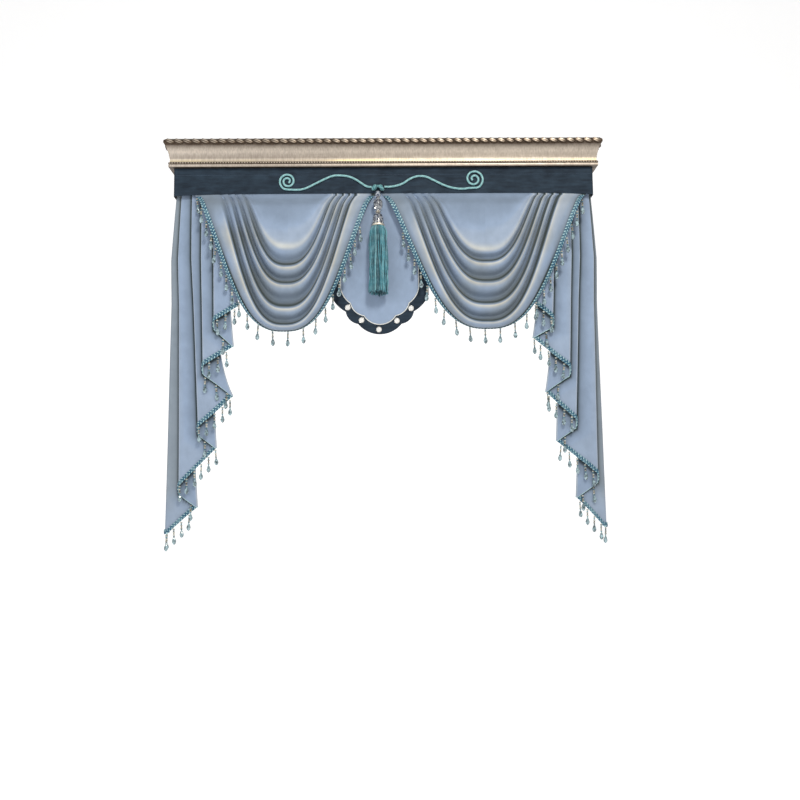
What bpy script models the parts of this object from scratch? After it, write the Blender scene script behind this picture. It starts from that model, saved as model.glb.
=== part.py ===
"""Window valance with cornice: a mitred cornice moulding on a dust board, and a velvet heading band that
carries two swags, two folded tails, a scalloped pendant, a sewn scroll cord and a tassel. Metres, +Z up,
+X to the viewer's right, +Y towards the wall. The origin is the middle of the dust board's wall edge.
"""

import math

import bmesh
import bpy
import numpy as np
from mathutils import Matrix, Vector

# Driving dimensions

GAP = 0.0003  # between two pieces that touch
HALF_WIDTH = 0.868  # of the heading band, over its outer faces
FRONT = 0.160  # from the wall to the front of the heading band
BAND_THICK = 0.003
BAND_TOP = -0.068
BAND_BOTTOM = -0.215
BAND_DIP = 0.008  # how much lower the band hangs at its two corners
BAND_DIP_CURVE = 6
BAND_CORNER = 0.010
BAND_STATIONS = (-0.85, -0.6, -0.3, 0.0)  # along its front, as shares of half its width
BAND_BACK = FRONT - BAND_THICK

CORNICE_TOP = 0.009
CORNICE_BOTTOM = -0.107
CORNICE_LIP = 0.026  # its flat top reaches this far in front of the band
TOP_BEAD = (0.0295, -0.0055, 0.0085, 0.0125)  # forward, z, half width, half height
TOP_BEAD_TURNS = (70, 40, 10, -20, -50, -80)
LOW_BEAD = (0.0155, -0.0905, 0.0055, 0.0050)
LOW_BEAD_TURNS = (70, 25, -25, -70)
COVE_HEAD = (0.027, -0.020)  # forward, z
COVE_FOOT = (0.013, -0.084)
COVE_CURVE = 1.7
COVE_STEPS = 5
FILLET = (0.017, -0.097)
WALL_GAP = 0.001

BOARD_THICK = 0.018

CLOTH = 0.0015
SEAM_TOP = -0.198  # top of the seam allowance behind the band
SEAM_LINE = -0.224  # the swags' folds start here, just under the band
SEAM_FLARE = 0.003
SWAG_DEPTH = BAND_BACK - GAP - CLOTH / 2  # depth of the swag's seam from the wall
TAIL_DEPTH = SWAG_DEPTH - CLOTH - 2 * GAP

BRAID_WIDTH = 0.018
BRAID_THICK = 0.0022
BRAID_GAP = 0.0008
BRAID_START = -0.229  # the braid starts this low, clear of the band's edge

# Swags: one row for each ridge and hollow, from the flat top down to the hem
# left and right: where the row meets the band; low: height of its middle
# belly and fold: how far its middle stands forward, by the sag and by the fold

LEFT_SWAG = (
    # left, right, low, belly, fold
    (-0.543, -0.242, -0.224, 0.000, 0.000),
    (-0.556, -0.229, -0.350, 0.014, 0.000),
    (-0.568, -0.216, -0.448, 0.024, 0.008),
    (-0.578, -0.206, -0.494, 0.028, -0.012),
    (-0.589, -0.197, -0.537, 0.032, 0.017),
    (-0.605, -0.182, -0.576, 0.035, -0.017),
    (-0.620, -0.168, -0.612, 0.038, 0.019),
    (-0.634, -0.155, -0.655, 0.041, -0.017),
    (-0.648, -0.142, -0.709, 0.044, 0.019),
    (-0.665, -0.130, -0.744, 0.045, -0.015),
    (-0.685, -0.115, -0.778, 0.046, 0.012),
    (-0.735, -0.074, -0.795, 0.028, 0.002),
    (-0.777, -0.039, -0.790, 0.008, 0.000),
)
RIGHT_SWAG = (
    (0.228, 0.592, -0.224, 0.000, 0.000),
    (0.215, 0.606, -0.352, 0.014, 0.000),
    (0.202, 0.618, -0.464, 0.024, 0.009),
    (0.189, 0.629, -0.494, 0.028, -0.012),
    (0.178, 0.636, -0.526, 0.032, 0.017),
    (0.162, 0.652, -0.568, 0.035, -0.017),
    (0.146, 0.667, -0.609, 0.038, 0.019),
    (0.127, 0.684, -0.655, 0.041, -0.017),
    (0.108, 0.700, -0.700, 0.044, 0.019),
    (0.093, 0.716, -0.737, 0.045, -0.015),
    (0.075, 0.734, -0.770, 0.046, 0.012),
    (0.030, 0.788, -0.790, 0.028, 0.002),
    (-0.009, 0.836, -0.785, 0.008, 0.000),
)
SAG_FULL = 2.7  # a drape line's shape: (1 - u to this power) to the next
SAG_STEEP = 1.62
SIDE_FORWARD = 0.028  # the swag's side edges stand this far in front of its seam
RISE_RUN = 0.055
PINCHED_FOLD = 0.3  # share of a fold's relief that is left where it is pleated
SWAG_COLUMNS = 26
SWAG_ROWS_PER_SPAN = 2
ROW_APART = 0.35  # rows between the braid's inner edge and the next row of points
HEM_SAMPLES = 400
BRAID_REACH = 1.5  # rows up from the hem in which the braid's inner edge is looked for
BRAID_SEARCH = 0.02

# Tails: one row for each edge and fold line, from the free inner edge out to the box's corner
# late: 1 for a straight fold line, more for one that flicks out near the hem

LEFT_TAIL = (
    # top_x, hem_x, hem_z, late
    (-0.640, -0.596, -0.684, 1),
    (-0.703, -0.694, -0.741, 1),
    (-0.650, -0.616, -0.848, 2),
    (-0.752, -0.736, -0.920, 1),
    (-0.690, -0.620, -1.049, 6),
    (-0.794, -0.754, -1.166, 1),
    (-0.750, -0.688, -1.258, 1),
    (-0.837, -0.824, -1.404, 1),
    (-0.800, -0.758, -1.496, 2),
    (-0.861, -0.880, -1.601, 1),
)
RIGHT_TAIL = (
    (0.640, 0.602, -0.676, 1),
    (0.707, 0.683, -0.738, 1),
    (0.655, 0.600, -0.821, 2),
    (0.771, 0.744, -0.937, 1),
    (0.700, 0.650, -1.042, 3),
    (0.805, 0.765, -1.150, 1),
    (0.750, 0.691, -1.242, 1),
    (0.850, 0.842, -1.373, 1),
    (0.800, 0.761, -1.472, 2),
    (0.861, 0.876, -1.592, 1),
)
TAIL_STEP_TOP = 0.0025  # from one layer to the next at the seam
TAIL_STEP_HEM = 0.010
TAIL_HEM_DEPTH = 0.165  # depth of the front layer's hem from the wall
TAIL_BULGE = 0.003
TAIL_OPENS = 0.46  # the layers stand a full step apart this far below the seam
TAIL_OPEN_CURVE = 1.5
TAIL_TURN_FALL = 0.022  # half of what the hem falls as it goes round an outer fold
TAIL_CORNER = 0.012
TAIL_WALL = 0.004
TAIL_HEIGHTS = (0.0, 0.2, 0.45, 0.7, 0.88)
TAIL_SWING = 0.022  # how far the outermost folds swing out below the band
TAIL_SWING_RUN = 0.28
TAIL_SWING_FROM, TAIL_SWING_WIDTH = 0.66, 0.21  # folds nearer the middle than this don't swing

# Bead drops: how far below its root each section is, and half its width

DROP_SECTIONS = ((0.006, 0.0027), (0.035, 0.0024), (0.049, 0.0062), (0.063, 0.0016))
DROP_ROOT = 0.0022  # half the length of braid that a drop is knotted to
DROP_REACH = 0.003
DROP_ROOM = 6 * DROP_ROOT  # shortest stretch of braid that takes a drop
SWAG_DROP_PITCH = 0.060
SWAG_DROP_START = 0.010  # from the end of the braid to the first drop
TAIL_DROP_PITCH = 0.041
INNER_DROP_FIRST = -0.340  # no drop hangs above this height on the swags' inner sides

# Pendant: half of each outline about its own middle, as corners and how far each scallop bulges

PENDANT_X = -0.0225
PENDANT_THICK = 0.0015
PANEL_DEPTH = SWAG_DEPTH - CLOTH - GAP
BASE_DEPTH = PANEL_DEPTH - PENDANT_THICK - GAP
BASE_CORNERS = ((0.2005, SEAM_TOP), (0.2005, -0.640), (0.139, -0.709), (0.0885, -0.760))
BASE_BULGES = (0.0, 0.008, 0.012)
BASE_LAST_BULGE = 0.043
PANEL_CORNERS = ((0.157, SEAM_TOP), (0.157, -0.610), (0.117, -0.6735), (0.063, -0.7245))
PANEL_BULGES = (0.0, 0.008, 0.012)
PANEL_LAST_BULGE = 0.036
SCALLOP_POINTS = 4
PIPING_RADIUS = 0.002
PIPING_TOP = BAND_BOTTOM - 0.020
STUD_RADIUS = 0.012
STUD_HEIGHT = 0.006
STUD_PLACES = ((-0.1305, -0.692), (-0.075, -0.745), (-0.004, -0.784), (0.0695, -0.748), (0.1275, -0.697))

# Scroll cord: the wave's route on the band, then a spiral

CORD_RADIUS = 0.0045
CORD_DEPTH = FRONT + GAP + CORD_RADIUS
LEFT_WAVE = (
    # x, z
    (-0.0525, -0.191),
    (-0.072, -0.188),
    (-0.093, -0.175),
    (-0.120, -0.157),
    (-0.149, -0.145),
    (-0.184, -0.141),
    (-0.212, -0.143),
    (-0.243, -0.155),
    (-0.281, -0.174),
    (-0.319, -0.193),
    (-0.344, -0.200),
    (-0.372, -0.201),
)
RIGHT_WAVE = (
    (0.0005, -0.190),
    (0.022, -0.190),
    (0.048, -0.186),
    (0.077, -0.176),
    (0.106, -0.157),
    (0.136, -0.146),
    (0.170, -0.147),
    (0.203, -0.162),
    (0.247, -0.184),
    (0.285, -0.196),
    (0.323, -0.200),
    (0.350, -0.197),
)
SPIRAL_POINTS_PER_TURN = 12
SPIRAL_EYE = 0.007  # radius at which a spiral stops
LEFT_SPIRAL = {"x": -0.398, "z": -0.165, "outer": 0.036, "turns": 1.95, "start": 282, "way": -1}
RIGHT_SPIRAL = {"x": 0.371, "z": -0.158, "outer": 0.041, "turns": 1.9, "start": 262, "way": 1}

KNOT_X = (-0.0515, -0.0015)
KNOT_Z = -0.1965
KNOT_RADIUS = 0.0135
KNOT_WRAPS = 3
KNOT_RIDGE = 0.0028
KNOT_CROWN = 0.25  # how much thinner its ends are than its middle, as a share
KNOT_STEPS_PER_WRAP = 4
KNOT_STEPS_ROUND = 10

# Tassel: turned pieces on one leaning axis, heights below the knot

TASSEL_X = -0.0265
TASSEL_Y = -0.178
TASSEL_TOP = -0.2115
TASSEL_LEAN = math.radians(3.4)
BEAD_TOP_PROFILE = ((0.004, 0.000), (0.010, -0.006), (0.0125, -0.015), (0.010, -0.025), (0.006, -0.032))
CAP_PROFILE = (
    (0.006, 0.0),
    (0.011, -0.005),
    (0.019, -0.013),
    (0.0195, -0.034),
    (0.013, -0.047),
    (0.006, -0.053),
)
BEAD_MIDDLE_PROFILE = ((0.006, 0.0), (0.0115, -0.005), (0.006, -0.010))
BELL_PROFILE = (
    (0.006, 0.0),
    (0.016, -0.006),
    (0.021, -0.016),
    (0.0225, -0.030),
    (0.0235, -0.044),
    (0.0235, -0.047),
)
COLLAR_PROFILE = ((0.0235, 0.0), (0.0265, -0.003), (0.0265, -0.007), (0.0245, -0.010))
TURNED_STEPS = 12

SKIRT_TOP_RADIUS = 0.027
SKIRT_ROOT_RADIUS = 0.033
SKIRT_HEAD = 0.020
SKIRT_SEGMENTS = 40
SKIRT_RING = 0.007
SKIRT_SECTIONS = ((0.120, 1.10), (0.262, 1.24))  # length of strand, spread about the axis
STRAND_SHRINK = 0.8
STRAND_WAVE = 0.003
STRAND_UNEVEN = 0.02
STRAND_WAVE_TURN = 2.4  # radians from one strand to the next
STRAND_UNEVEN_TURN = 5.1


def start_scene():
    for old in list(bpy.data.objects):
        bpy.data.objects.remove(old)
    made = bpy.data.collections.new("window_valance_with_cornice")
    bpy.context.scene.collection.children.link(made)
    return made


COLLECTION = start_scene()


def finish_of(name, colour, roughness, metallic=0.0):
    made = bpy.data.materials.new(name)
    made.use_nodes = True
    shader = made.node_tree.nodes["Principled BSDF"]
    shader.inputs["Base Color"].default_value = (*colour, 1.0)
    shader.inputs["Roughness"].default_value = roughness
    shader.inputs["Metallic"].default_value = metallic
    return made


GILT = finish_of("silver_gilt", (0.42, 0.36, 0.27), 0.38, 0.75)
PLAIN_WOOD = finish_of("plain_wood", (0.55, 0.43, 0.29), 0.7)
NAVY_VELVET = finish_of("navy_velvet", (0.030, 0.052, 0.085), 0.9)
BLUE_VELVET = finish_of("pale_blue_velvet", (0.27, 0.35, 0.46), 0.75)
BRAID = finish_of("teal_braid", (0.06, 0.25, 0.33), 0.8)
AQUA_CORD = finish_of("aqua_cord", (0.22, 0.46, 0.48), 0.6)
WHITE_PIPING = finish_of("white_piping", (0.75, 0.76, 0.74), 0.5)
PEARL = finish_of("pearl", (0.85, 0.84, 0.80), 0.15)
CRYSTAL = finish_of("crystal", (0.80, 0.84, 0.83), 0.08)
GOLD = finish_of("gold_metal", (0.68, 0.55, 0.33), 0.3, 0.9)
TEAL_YARN = finish_of("teal_yarn", (0.10, 0.34, 0.38), 0.8)


def add_object(name, mesh, finish):
    """The object of a finished bmesh, in the part's collection."""
    data = bpy.data.meshes.new(name)
    mesh.to_mesh(data)
    mesh.free()
    data.materials.append(finish)
    made = bpy.data.objects.new(name, data)
    COLLECTION.objects.link(made)
    return made


def smooth(made, degrees=40):
    made.data.shade_smooth()
    made.data.set_sharp_from_angle(angle=math.radians(degrees))
    return made


def ease(share):
    share = min(max(share, 0.0), 1.0)
    return share * share * (3 - 2 * share)


def curve_through(points, at):
    """The point at a row number, with a fraction, on a smooth curve through all rows."""
    points = np.asarray(points, float)
    last = len(points) - 1
    i = min(int(at), last - 1)
    share = at - i
    before = points[max(i - 1, 0)]
    after = points[min(i + 2, last)]
    a, b = points[i], points[i + 1]
    slope_a = (b - before) / 2
    slope_b = (after - a) / 2
    cube = 2 * (a - b) + slope_a + slope_b
    square = 3 * (b - a) - 2 * slope_a - slope_b
    return a + share * (slope_a + share * (square + share * cube))


# Cornice and dust board


def half_round(bead, turns):
    forward, z, half_width, half_height = bead
    points = []
    for turn in turns:
        angle = math.radians(turn)
        points.append((forward + half_width * math.cos(angle), z + half_height * math.sin(angle)))
    return points


def cornice_profile():
    """(forward, z) of the moulding's outline, forward of the band's face."""
    front = [(CORNICE_LIP, CORNICE_TOP), *half_round(TOP_BEAD, TOP_BEAD_TURNS)]
    for step in range(COVE_STEPS + 1):
        share = step / COVE_STEPS
        reach = (COVE_HEAD[0] - COVE_FOOT[0]) * (1 - share) ** COVE_CURVE
        front.append((COVE_FOOT[0] + reach, COVE_HEAD[1] + (COVE_FOOT[1] - COVE_HEAD[1]) * share))
    front += [*half_round(LOW_BEAD, LOW_BEAD_TURNS), FILLET, (FILLET[0], CORNICE_BOTTOM)]
    rebate = BAND_TOP + GAP
    back = [(GAP, CORNICE_BOTTOM), (GAP, rebate), (-BAND_THICK, rebate), (-BAND_THICK, CORNICE_TOP)]
    return front + back


def cornice_length(name, place):
    """One mitred length: the profile is drawn once and extruded, and place(end, forward) puts each end."""
    profile = cornice_profile()
    mesh = bmesh.new()
    near = [mesh.verts.new((0, -forward, z)) for forward, z in profile]
    face = mesh.faces.new(near)
    grown = bmesh.ops.extrude_face_region(mesh, geom=[face])["geom"]
    far = [item for item in grown if isinstance(item, bmesh.types.BMVert)]
    for end, verts in ((0, near), (1, far)):
        for vert in verts:
            vert.co.xy = place(end, -vert.co.y)
    bmesh.ops.recalc_face_normals(mesh, faces=mesh.faces)
    return add_object(name, mesh, GILT)


def front_place(end, forward):
    side = 2 * end - 1
    return side * (HALF_WIDTH + forward - GAP), -(FRONT + forward)


def return_place(side):
    def place(end, forward):
        depth = FRONT + forward - GAP if end == 0 else WALL_GAP
        return side * (HALF_WIDTH + forward), -depth

    return place


def make_cornice():
    cornice_length("cornice_front", front_place)
    cornice_length("cornice_left", return_place(-1))
    cornice_length("cornice_right", return_place(1))


def make_board():
    half = HALF_WIDTH - BAND_THICK - GAP
    depth = BAND_BACK - GAP
    mesh = bmesh.new()
    bmesh.ops.create_cube(mesh, size=1.0)
    bmesh.ops.scale(mesh, verts=mesh.verts, vec=(2 * half, depth, BOARD_THICK))
    bmesh.ops.translate(mesh, verts=mesh.verts, vec=(0, -depth / 2, 0))
    add_object("dust_board", mesh, PLAIN_WOOD)


# Cloth


def add_cloth(name, rows, thickness, finish):
    """A grid laid on rows of points, the hem row first, and given its thickness."""
    up, along = len(rows), len(rows[0])
    mesh = bmesh.new()
    bmesh.ops.create_grid(mesh, x_segments=along - 1, y_segments=up - 1, size=1.0)
    for vert in mesh.verts:
        row = round((vert.co.y + 1) / 2 * (up - 1))
        column = round((vert.co.x + 1) / 2 * (along - 1))
        vert.co = rows[row][column]
    made = add_object(name, mesh, finish)
    shell = made.modifiers.new("cloth", "SOLIDIFY")
    shell.thickness = thickness
    shell.offset = 0.0
    made.data.shade_smooth()
    return made


def make_band():
    """The stiffened heading band: a U of velvet from wall to wall, a little lower at its corners."""
    side = HALF_WIDTH - BAND_THICK / 2
    depth = FRONT - BAND_THICK / 2
    route = [(-side, -TAIL_WALL)]
    for turn in (0, 30, 60, 90):
        bend = math.radians(turn)
        aside, forward = BAND_CORNER * (1 - math.cos(bend)), BAND_CORNER * (1 - math.sin(bend))
        route.append((-side + aside, -depth + forward))
    route += [(share * (side - BAND_CORNER), -depth) for share in BAND_STATIONS]
    route += [(-x, y) for x, y in reversed(route[:-1])]
    rows = []
    for share in (0.0, 0.5, 1.0):
        row = []
        for x, y in route:
            bottom = BAND_BOTTOM - BAND_DIP * (abs(x) / HALF_WIDTH) ** BAND_DIP_CURVE
            row.append((x, y, bottom + (BAND_TOP - bottom) * share))
        rows.append(row)
    add_cloth("heading_band", rows, BAND_THICK, NAVY_VELVET)


def swag_point(table, at, u):
    """The swag's middle surface: at counts the table's rows, and u runs from -1 at the left to 1."""
    left, right, low, belly, fold = curve_through(table, at)
    share = (1 - abs(u) ** SAG_FULL) ** SAG_STEEP
    x = left + (right - left) * (u + 1) / 2
    z = SEAM_LINE + (low - SEAM_LINE) * share
    rise = ease((SEAM_LINE - z) / RISE_RUN)
    relief = PINCHED_FOLD + (1 - PINCHED_FOLD) * share
    forward = rise * (SIDE_FORWARD + belly * share + fold * relief)
    return Vector((x, -(SWAG_DEPTH + forward), z))


def even_columns(table):
    """Values of u that space the columns evenly along the hem."""
    last = len(table) - 1
    tries = np.linspace(-1, 1, HEM_SAMPLES)
    points = np.array([swag_point(table, last, u) for u in tries])
    along = np.concatenate([[0], np.cumsum(np.linalg.norm(np.diff(points, axis=0), axis=1))])
    return np.interp(np.linspace(0, along[-1], SWAG_COLUMNS + 1), along, tries)


def braid_line(table, u):
    """The row number at which the cloth is a braid's width from the hem."""
    last = len(table) - 1
    hem = swag_point(table, last, u)
    at = last
    while at > last - BRAID_REACH and (swag_point(table, at, u) - hem).length < BRAID_WIDTH:
        at -= BRAID_SEARCH
    return at


def with_seam(rows):
    """The rows with the flat seam allowance that goes up behind the band round their top and both sides."""

    def seam(point, aside=0.0, rise=0.0):
        return Vector((point.x + aside, -SWAG_DEPTH, SEAM_TOP + rise))

    left, right = rows[-1][0], rows[-1][-1]
    grown = [[seam(row[0]), *row, seam(row[-1])] for row in rows]
    grown[-1][0] = seam(left, -SEAM_FLARE)
    grown[-1][-1] = seam(right, SEAM_FLARE)
    top = [seam(point) for point in rows[-1]]
    top[0] = seam(left, SEAM_FLARE)
    top[-1] = seam(right, -SEAM_FLARE)
    return grown + [[seam(left, 0.0, SEAM_FLARE), *top, seam(right, 0.0, SEAM_FLARE)]]


def below_band(hem, inner):
    """Both edges of the braid, cut off where its inner edge comes out from behind the band."""
    shown = [j for j, point in enumerate(inner) if point.z < BRAID_START]
    first, last = shown[0], shown[-1]
    starts, ends = [], []
    for line in (hem, inner):
        for cuts, outside, inside in ((starts, first - 1, first), (ends, last + 1, last)):
            share = (BRAID_START - inner[outside].z) / (inner[inside].z - inner[outside].z)
            cuts.append(line[outside].lerp(line[inside], share))
    cut = slice(first, last + 1)
    return [starts[0], *hem[cut], ends[0]], [starts[1], *inner[cut], ends[1]]


def make_swag(name, table):
    """The swag and its fringe, which share the points of the hem."""
    last = len(table) - 1
    columns = even_columns(table)
    columns[0], columns[-1] = -1.0, 1.0
    lines = [braid_line(table, u) for u in columns]
    hem = [swag_point(table, last, u) for u in columns]
    inner = [swag_point(table, at, u) for at, u in zip(lines, columns)]
    steps = SWAG_ROWS_PER_SPAN * (last - 1)
    rows = [hem, inner]
    for step in range(steps, -1, -1):
        share = step / steps
        row = []
        for at, u in zip(lines, columns):
            row.append(swag_point(table, share * min(last - 1, at - ROW_APART), u))
        rows.append(row)
    add_cloth(name, with_seam(rows), CLOTH, BLUE_VELVET)
    middle_x = (table[-1][0] + table[-1][1]) / 2
    inner_side = 1 if name.endswith("left") else -1

    def wanted(point):
        return (point.x - middle_x) * inner_side < 0 or point.z < INNER_DROP_FIRST

    hem, inner = below_band(hem, inner)
    make_fringe(name + "_fringe", hem, inner, SWAG_DROP_PITCH, SWAG_DROP_START, wanted)


# Tails


def tail_columns(table):
    """For each point along the hem from the inner edge out: top and hem as (x, depth), the hem's z, late, and
    whether the braid carries drops there."""
    columns = []
    out = 1 if table[0][0] > 0 else -1
    for i in range(len(table) - 1):
        way = out if i % 2 == 0 else -out
        deep_top = TAIL_DEPTH - i * TAIL_STEP_TOP
        deep_hem = TAIL_HEM_DEPTH - i * TAIL_STEP_HEM
        bend_top, bend_hem = TAIL_STEP_TOP / 2, TAIL_STEP_HEM / 2
        first, second = table[i], table[i + 1]
        last_layer = i == len(table) - 2
        if last_layer:
            bend_top = bend_hem = TAIL_CORNER
        start_top = first[0] + (way * TAIL_STEP_TOP / 2 if i else 0)
        start_hem = first[1] + (way * TAIL_STEP_HEM / 2 if i else 0)
        start_z = first[2] - (2 * TAIL_TURN_FALL if i % 2 else 0)
        turn_fall = 0 if i % 2 else TAIL_TURN_FALL
        end_top = second[0] - way * bend_top
        end_hem = second[1] - way * bend_hem
        shares = (0.0, 0.5, 1.0) if i % 2 == 0 else (0.0, 1.0)
        for share in shares:
            bulge = TAIL_BULGE if share == 0.5 else 0.0
            columns.append({
                "top": (start_top + (end_top - start_top) * share, deep_top),
                "hem": (start_hem + (end_hem - start_hem) * share, deep_hem + bulge),
                "z": start_z + (second[2] - start_z) * share,
                "late": first[3] + (second[3] - first[3]) * share,
                "drops": i % 2 == 0,
            })
        if not last_layer:
            for turn in (45, 90, 135):
                bend = math.radians(turn)
                reach, back = math.sin(bend), 1 - math.cos(bend)
                columns.append({
                    "top": (end_top + way * bend_top * reach, deep_top - bend_top * back),
                    "hem": (end_hem + way * bend_hem * reach, deep_hem - bend_hem * back),
                    "z": second[2] - turn_fall * back,
                    "late": second[3],
                    "drops": False,
                })
            continue
        for turn in (30, 60, 90):
            bend = math.radians(turn)
            reach, back = math.sin(bend) * TAIL_CORNER, (1 - math.cos(bend)) * TAIL_CORNER
            columns.append({
                "top": (end_top + way * reach, deep_top - back),
                "hem": (end_hem + way * reach, deep_hem - back),
                "z": second[2],
                "late": 1,
                "drops": False,
            })
        columns.append({
            "top": (end_top + way * TAIL_CORNER, TAIL_WALL),
            "hem": (end_hem + way * TAIL_CORNER, TAIL_WALL),
            "z": second[2],
            "late": 1,
            "drops": True,
        })
    return columns


def tail_point(column, share):
    """A point down one column, from 0 at the seam to 1 at the hem."""
    late = share ** column["late"]
    x = column["top"][0] + (column["hem"][0] - column["top"][0]) * late
    z = SEAM_TOP + (column["z"] - SEAM_TOP) * share
    fallen = min((SEAM_TOP - z) / TAIL_SWING_RUN, 1.0)
    x += math.copysign(TAIL_SWING * fallen * ease((abs(x) - TAIL_SWING_FROM) / TAIL_SWING_WIDTH), x)
    opened = min((SEAM_TOP - z) / TAIL_OPENS, 1.0) ** TAIL_OPEN_CURVE
    depth = column["top"][1] + (column["hem"][1] - column["top"][1]) * opened
    return Vector((x, -depth, z))


def make_tail(name, table):
    """The folded tail, whose outer layer turns the box's corner to the wall, and its fringe."""
    columns = tail_columns(table)
    if table[0][0] < 0:
        columns.reverse()
    hem = [tail_point(column, 1.0) for column in columns]
    inner = [tail_point(column, 1.0 - BRAID_WIDTH / (SEAM_TOP - column["z"])) for column in columns]
    rows = [hem, inner]
    for share in reversed(TAIL_HEIGHTS):
        rows.append([tail_point(column, share) for column in columns])
    add_cloth(name, rows, CLOTH, BLUE_VELVET)
    flags = [column["drops"] for column in columns]
    make_fringe(name + "_fringe", hem, inner, TAIL_DROP_PITCH, TAIL_DROP_PITCH / 2, lambda point: True, flags)


# Fringe


def drop_roots(hem, pitch, due, wanted, flags):
    """(column, fraction, half width as a fraction) of each drop, at an even pitch along the hem."""
    roots = []
    travelled = 0.0
    for j in range(len(hem) - 1):
        length = (hem[j + 1] - hem[j]).length
        allowed = flags is None or (flags[j] and flags[j + 1])
        if not allowed or length < DROP_ROOM:
            travelled += length if allowed else 0.0
            continue
        half = DROP_ROOT / length
        while due < travelled + length:
            share = min(max((due - travelled) / length, 2 * half), 1 - 2 * half)
            if wanted(hem[j].lerp(hem[j + 1], share)):
                roots.append((j, share, half))
            due += pitch
        travelled += length
    return roots


def hang_drop(mesh, root):
    """Extrudes a braid's lower face into one bead drop that hangs straight down."""
    mesh.normal_update()
    centre = root.calc_center_median()
    out = root.normal
    face = root
    for below, half in DROP_SECTIONS:
        middle = centre + Vector((out.x * DROP_REACH, out.y * DROP_REACH, -below))
        corners = [middle + Vector((x * half, y * half, 0)) for x, y in ((1, 1), (1, -1), (-1, -1), (-1, 1))]
        face = bmesh.ops.extrude_discrete_faces(mesh, faces=[face])["faces"][0]
        verts = list(face.verts)
        turns = [corners[k:] + corners[:k] for k in range(4)]
        best = min(turns, key=lambda ring: sum((v.co - c).length_squared for v, c in zip(verts, ring)))
        for vert, corner in zip(verts, best):
            vert.co = corner


def make_fringe(name, hem, inner, pitch, start, wanted, flags=None):
    """A braid sewn along the face side of a hem, with its bead drops. Columns run from left to right."""
    cells = []
    for j in range(len(hem) - 1):
        along = hem[j + 1] - hem[j]
        cells.append(along.cross(inner[j] - hem[j]).normalized())
    outward = [cells[0]]
    outward += [(a + b).normalized() for a, b in zip(cells, cells[1:])]
    outward.append(cells[-1])
    roots = drop_roots(hem, pitch, start, wanted, flags)
    places = {(j, 0.0) for j in range(len(hem))}
    for j, share, half in roots:
        places |= {(j, share - half), (j, share + half)}
    places = sorted(places)
    low = CLOTH / 2 + BRAID_GAP
    high = low + BRAID_THICK
    mesh = bmesh.new()
    rings = []
    for j, share in places:
        k = min(j + 1, len(hem) - 1)
        normal = outward[j].lerp(outward[k], share)
        edge = hem[j].lerp(hem[k], share)
        back = inner[j].lerp(inner[k], share)
        ring = (edge + normal * high, edge + normal * low, back + normal * low, back + normal * high)
        rings.append([mesh.verts.new(point) for point in ring])
    rims = []
    for ring, following in zip(rings, rings[1:]):
        for k in range(4):
            n = (k + 1) % 4
            face = mesh.faces.new((ring[k], following[k], following[n], ring[n]))
            if k == 0:
                rims.append(face)
    mesh.faces.new(rings[0])
    mesh.faces.new(reversed(rings[-1]))
    bmesh.ops.recalc_face_normals(mesh, faces=mesh.faces)
    starts = {(j, share - half) for j, share, half in roots}
    for place, rim in zip(places, rims):
        if place in starts:
            hang_drop(mesh, rim)
    add_object(name, mesh, BRAID)


# Pendant


def scalloped_half(corners, bulges, last_bulge):
    """Right half of an outline as (x, z), from the seam down to the middle of the last scallop."""
    points = [corners[0]]
    for a, b, bulge in zip(corners, corners[1:], bulges):
        if bulge == 0:
            points.append(b)
            continue
        points += arc(a, b, bulge)[1:]
    across = arc(corners[-1], (-corners[-1][0], corners[-1][1]), last_bulge, 2 * SCALLOP_POINTS)
    return points + across[1:SCALLOP_POINTS + 1]


def arc(a, b, bulge, count=SCALLOP_POINTS):
    """Points from a to b on an arc that stands bulge proud of the chord, on its left."""
    chord = math.dist(a, b)
    radius = (chord * chord / 4 + bulge * bulge) / (2 * bulge)
    swing = math.asin(chord / 2 / radius)
    way = ((b[0] - a[0]) / chord, (b[1] - a[1]) / chord)
    side = (-way[1], way[0])
    points = []
    for step in range(count + 1):
        angle = swing * (2 * step / count - 1)
        along = chord / 2 + radius * math.sin(angle)
        proud = bulge - radius * (1 - math.cos(angle))
        points.append((a[0] + way[0] * along + side[0] * proud, a[1] + way[1] * along + side[1] * proud))
    return points


def mirrored(half):
    return half + [(-x, z) for x, z in reversed(half[:-1])]


def add_flat(name, outline, depth, thickness, finish):
    """A flat cloth shape: its outline is filled and extruded to its thickness."""
    mesh = bmesh.new()
    verts = [mesh.verts.new((PENDANT_X + x, -(depth - thickness / 2), z)) for x, z in outline]
    face = mesh.faces.new(verts)
    grown = bmesh.ops.extrude_face_region(mesh, geom=[face])["geom"]
    moved = [item for item in grown if isinstance(item, bmesh.types.BMVert)]
    bmesh.ops.translate(mesh, verts=moved, vec=(0, -thickness, 0))
    bmesh.ops.recalc_face_normals(mesh, faces=mesh.faces)
    add_object(name, mesh, finish)


def beside(outline, distance):
    """The outline moved outwards by a distance, for what is laid round it."""
    points = [Vector(point) for point in outline]
    moved = []
    for i, point in enumerate(points):
        before = points[max(i - 1, 0)]
        after = points[min(i + 1, len(points) - 1)]
        first = (point - before).normalized() if i else (after - point).normalized()
        second = (after - point).normalized() if i < len(points) - 1 else first
        way = (first + second).normalized()
        side = Vector((-way.y, way.x))
        moved.append(point + side * distance / max(way.dot(first), 0.5))
    return moved


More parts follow.
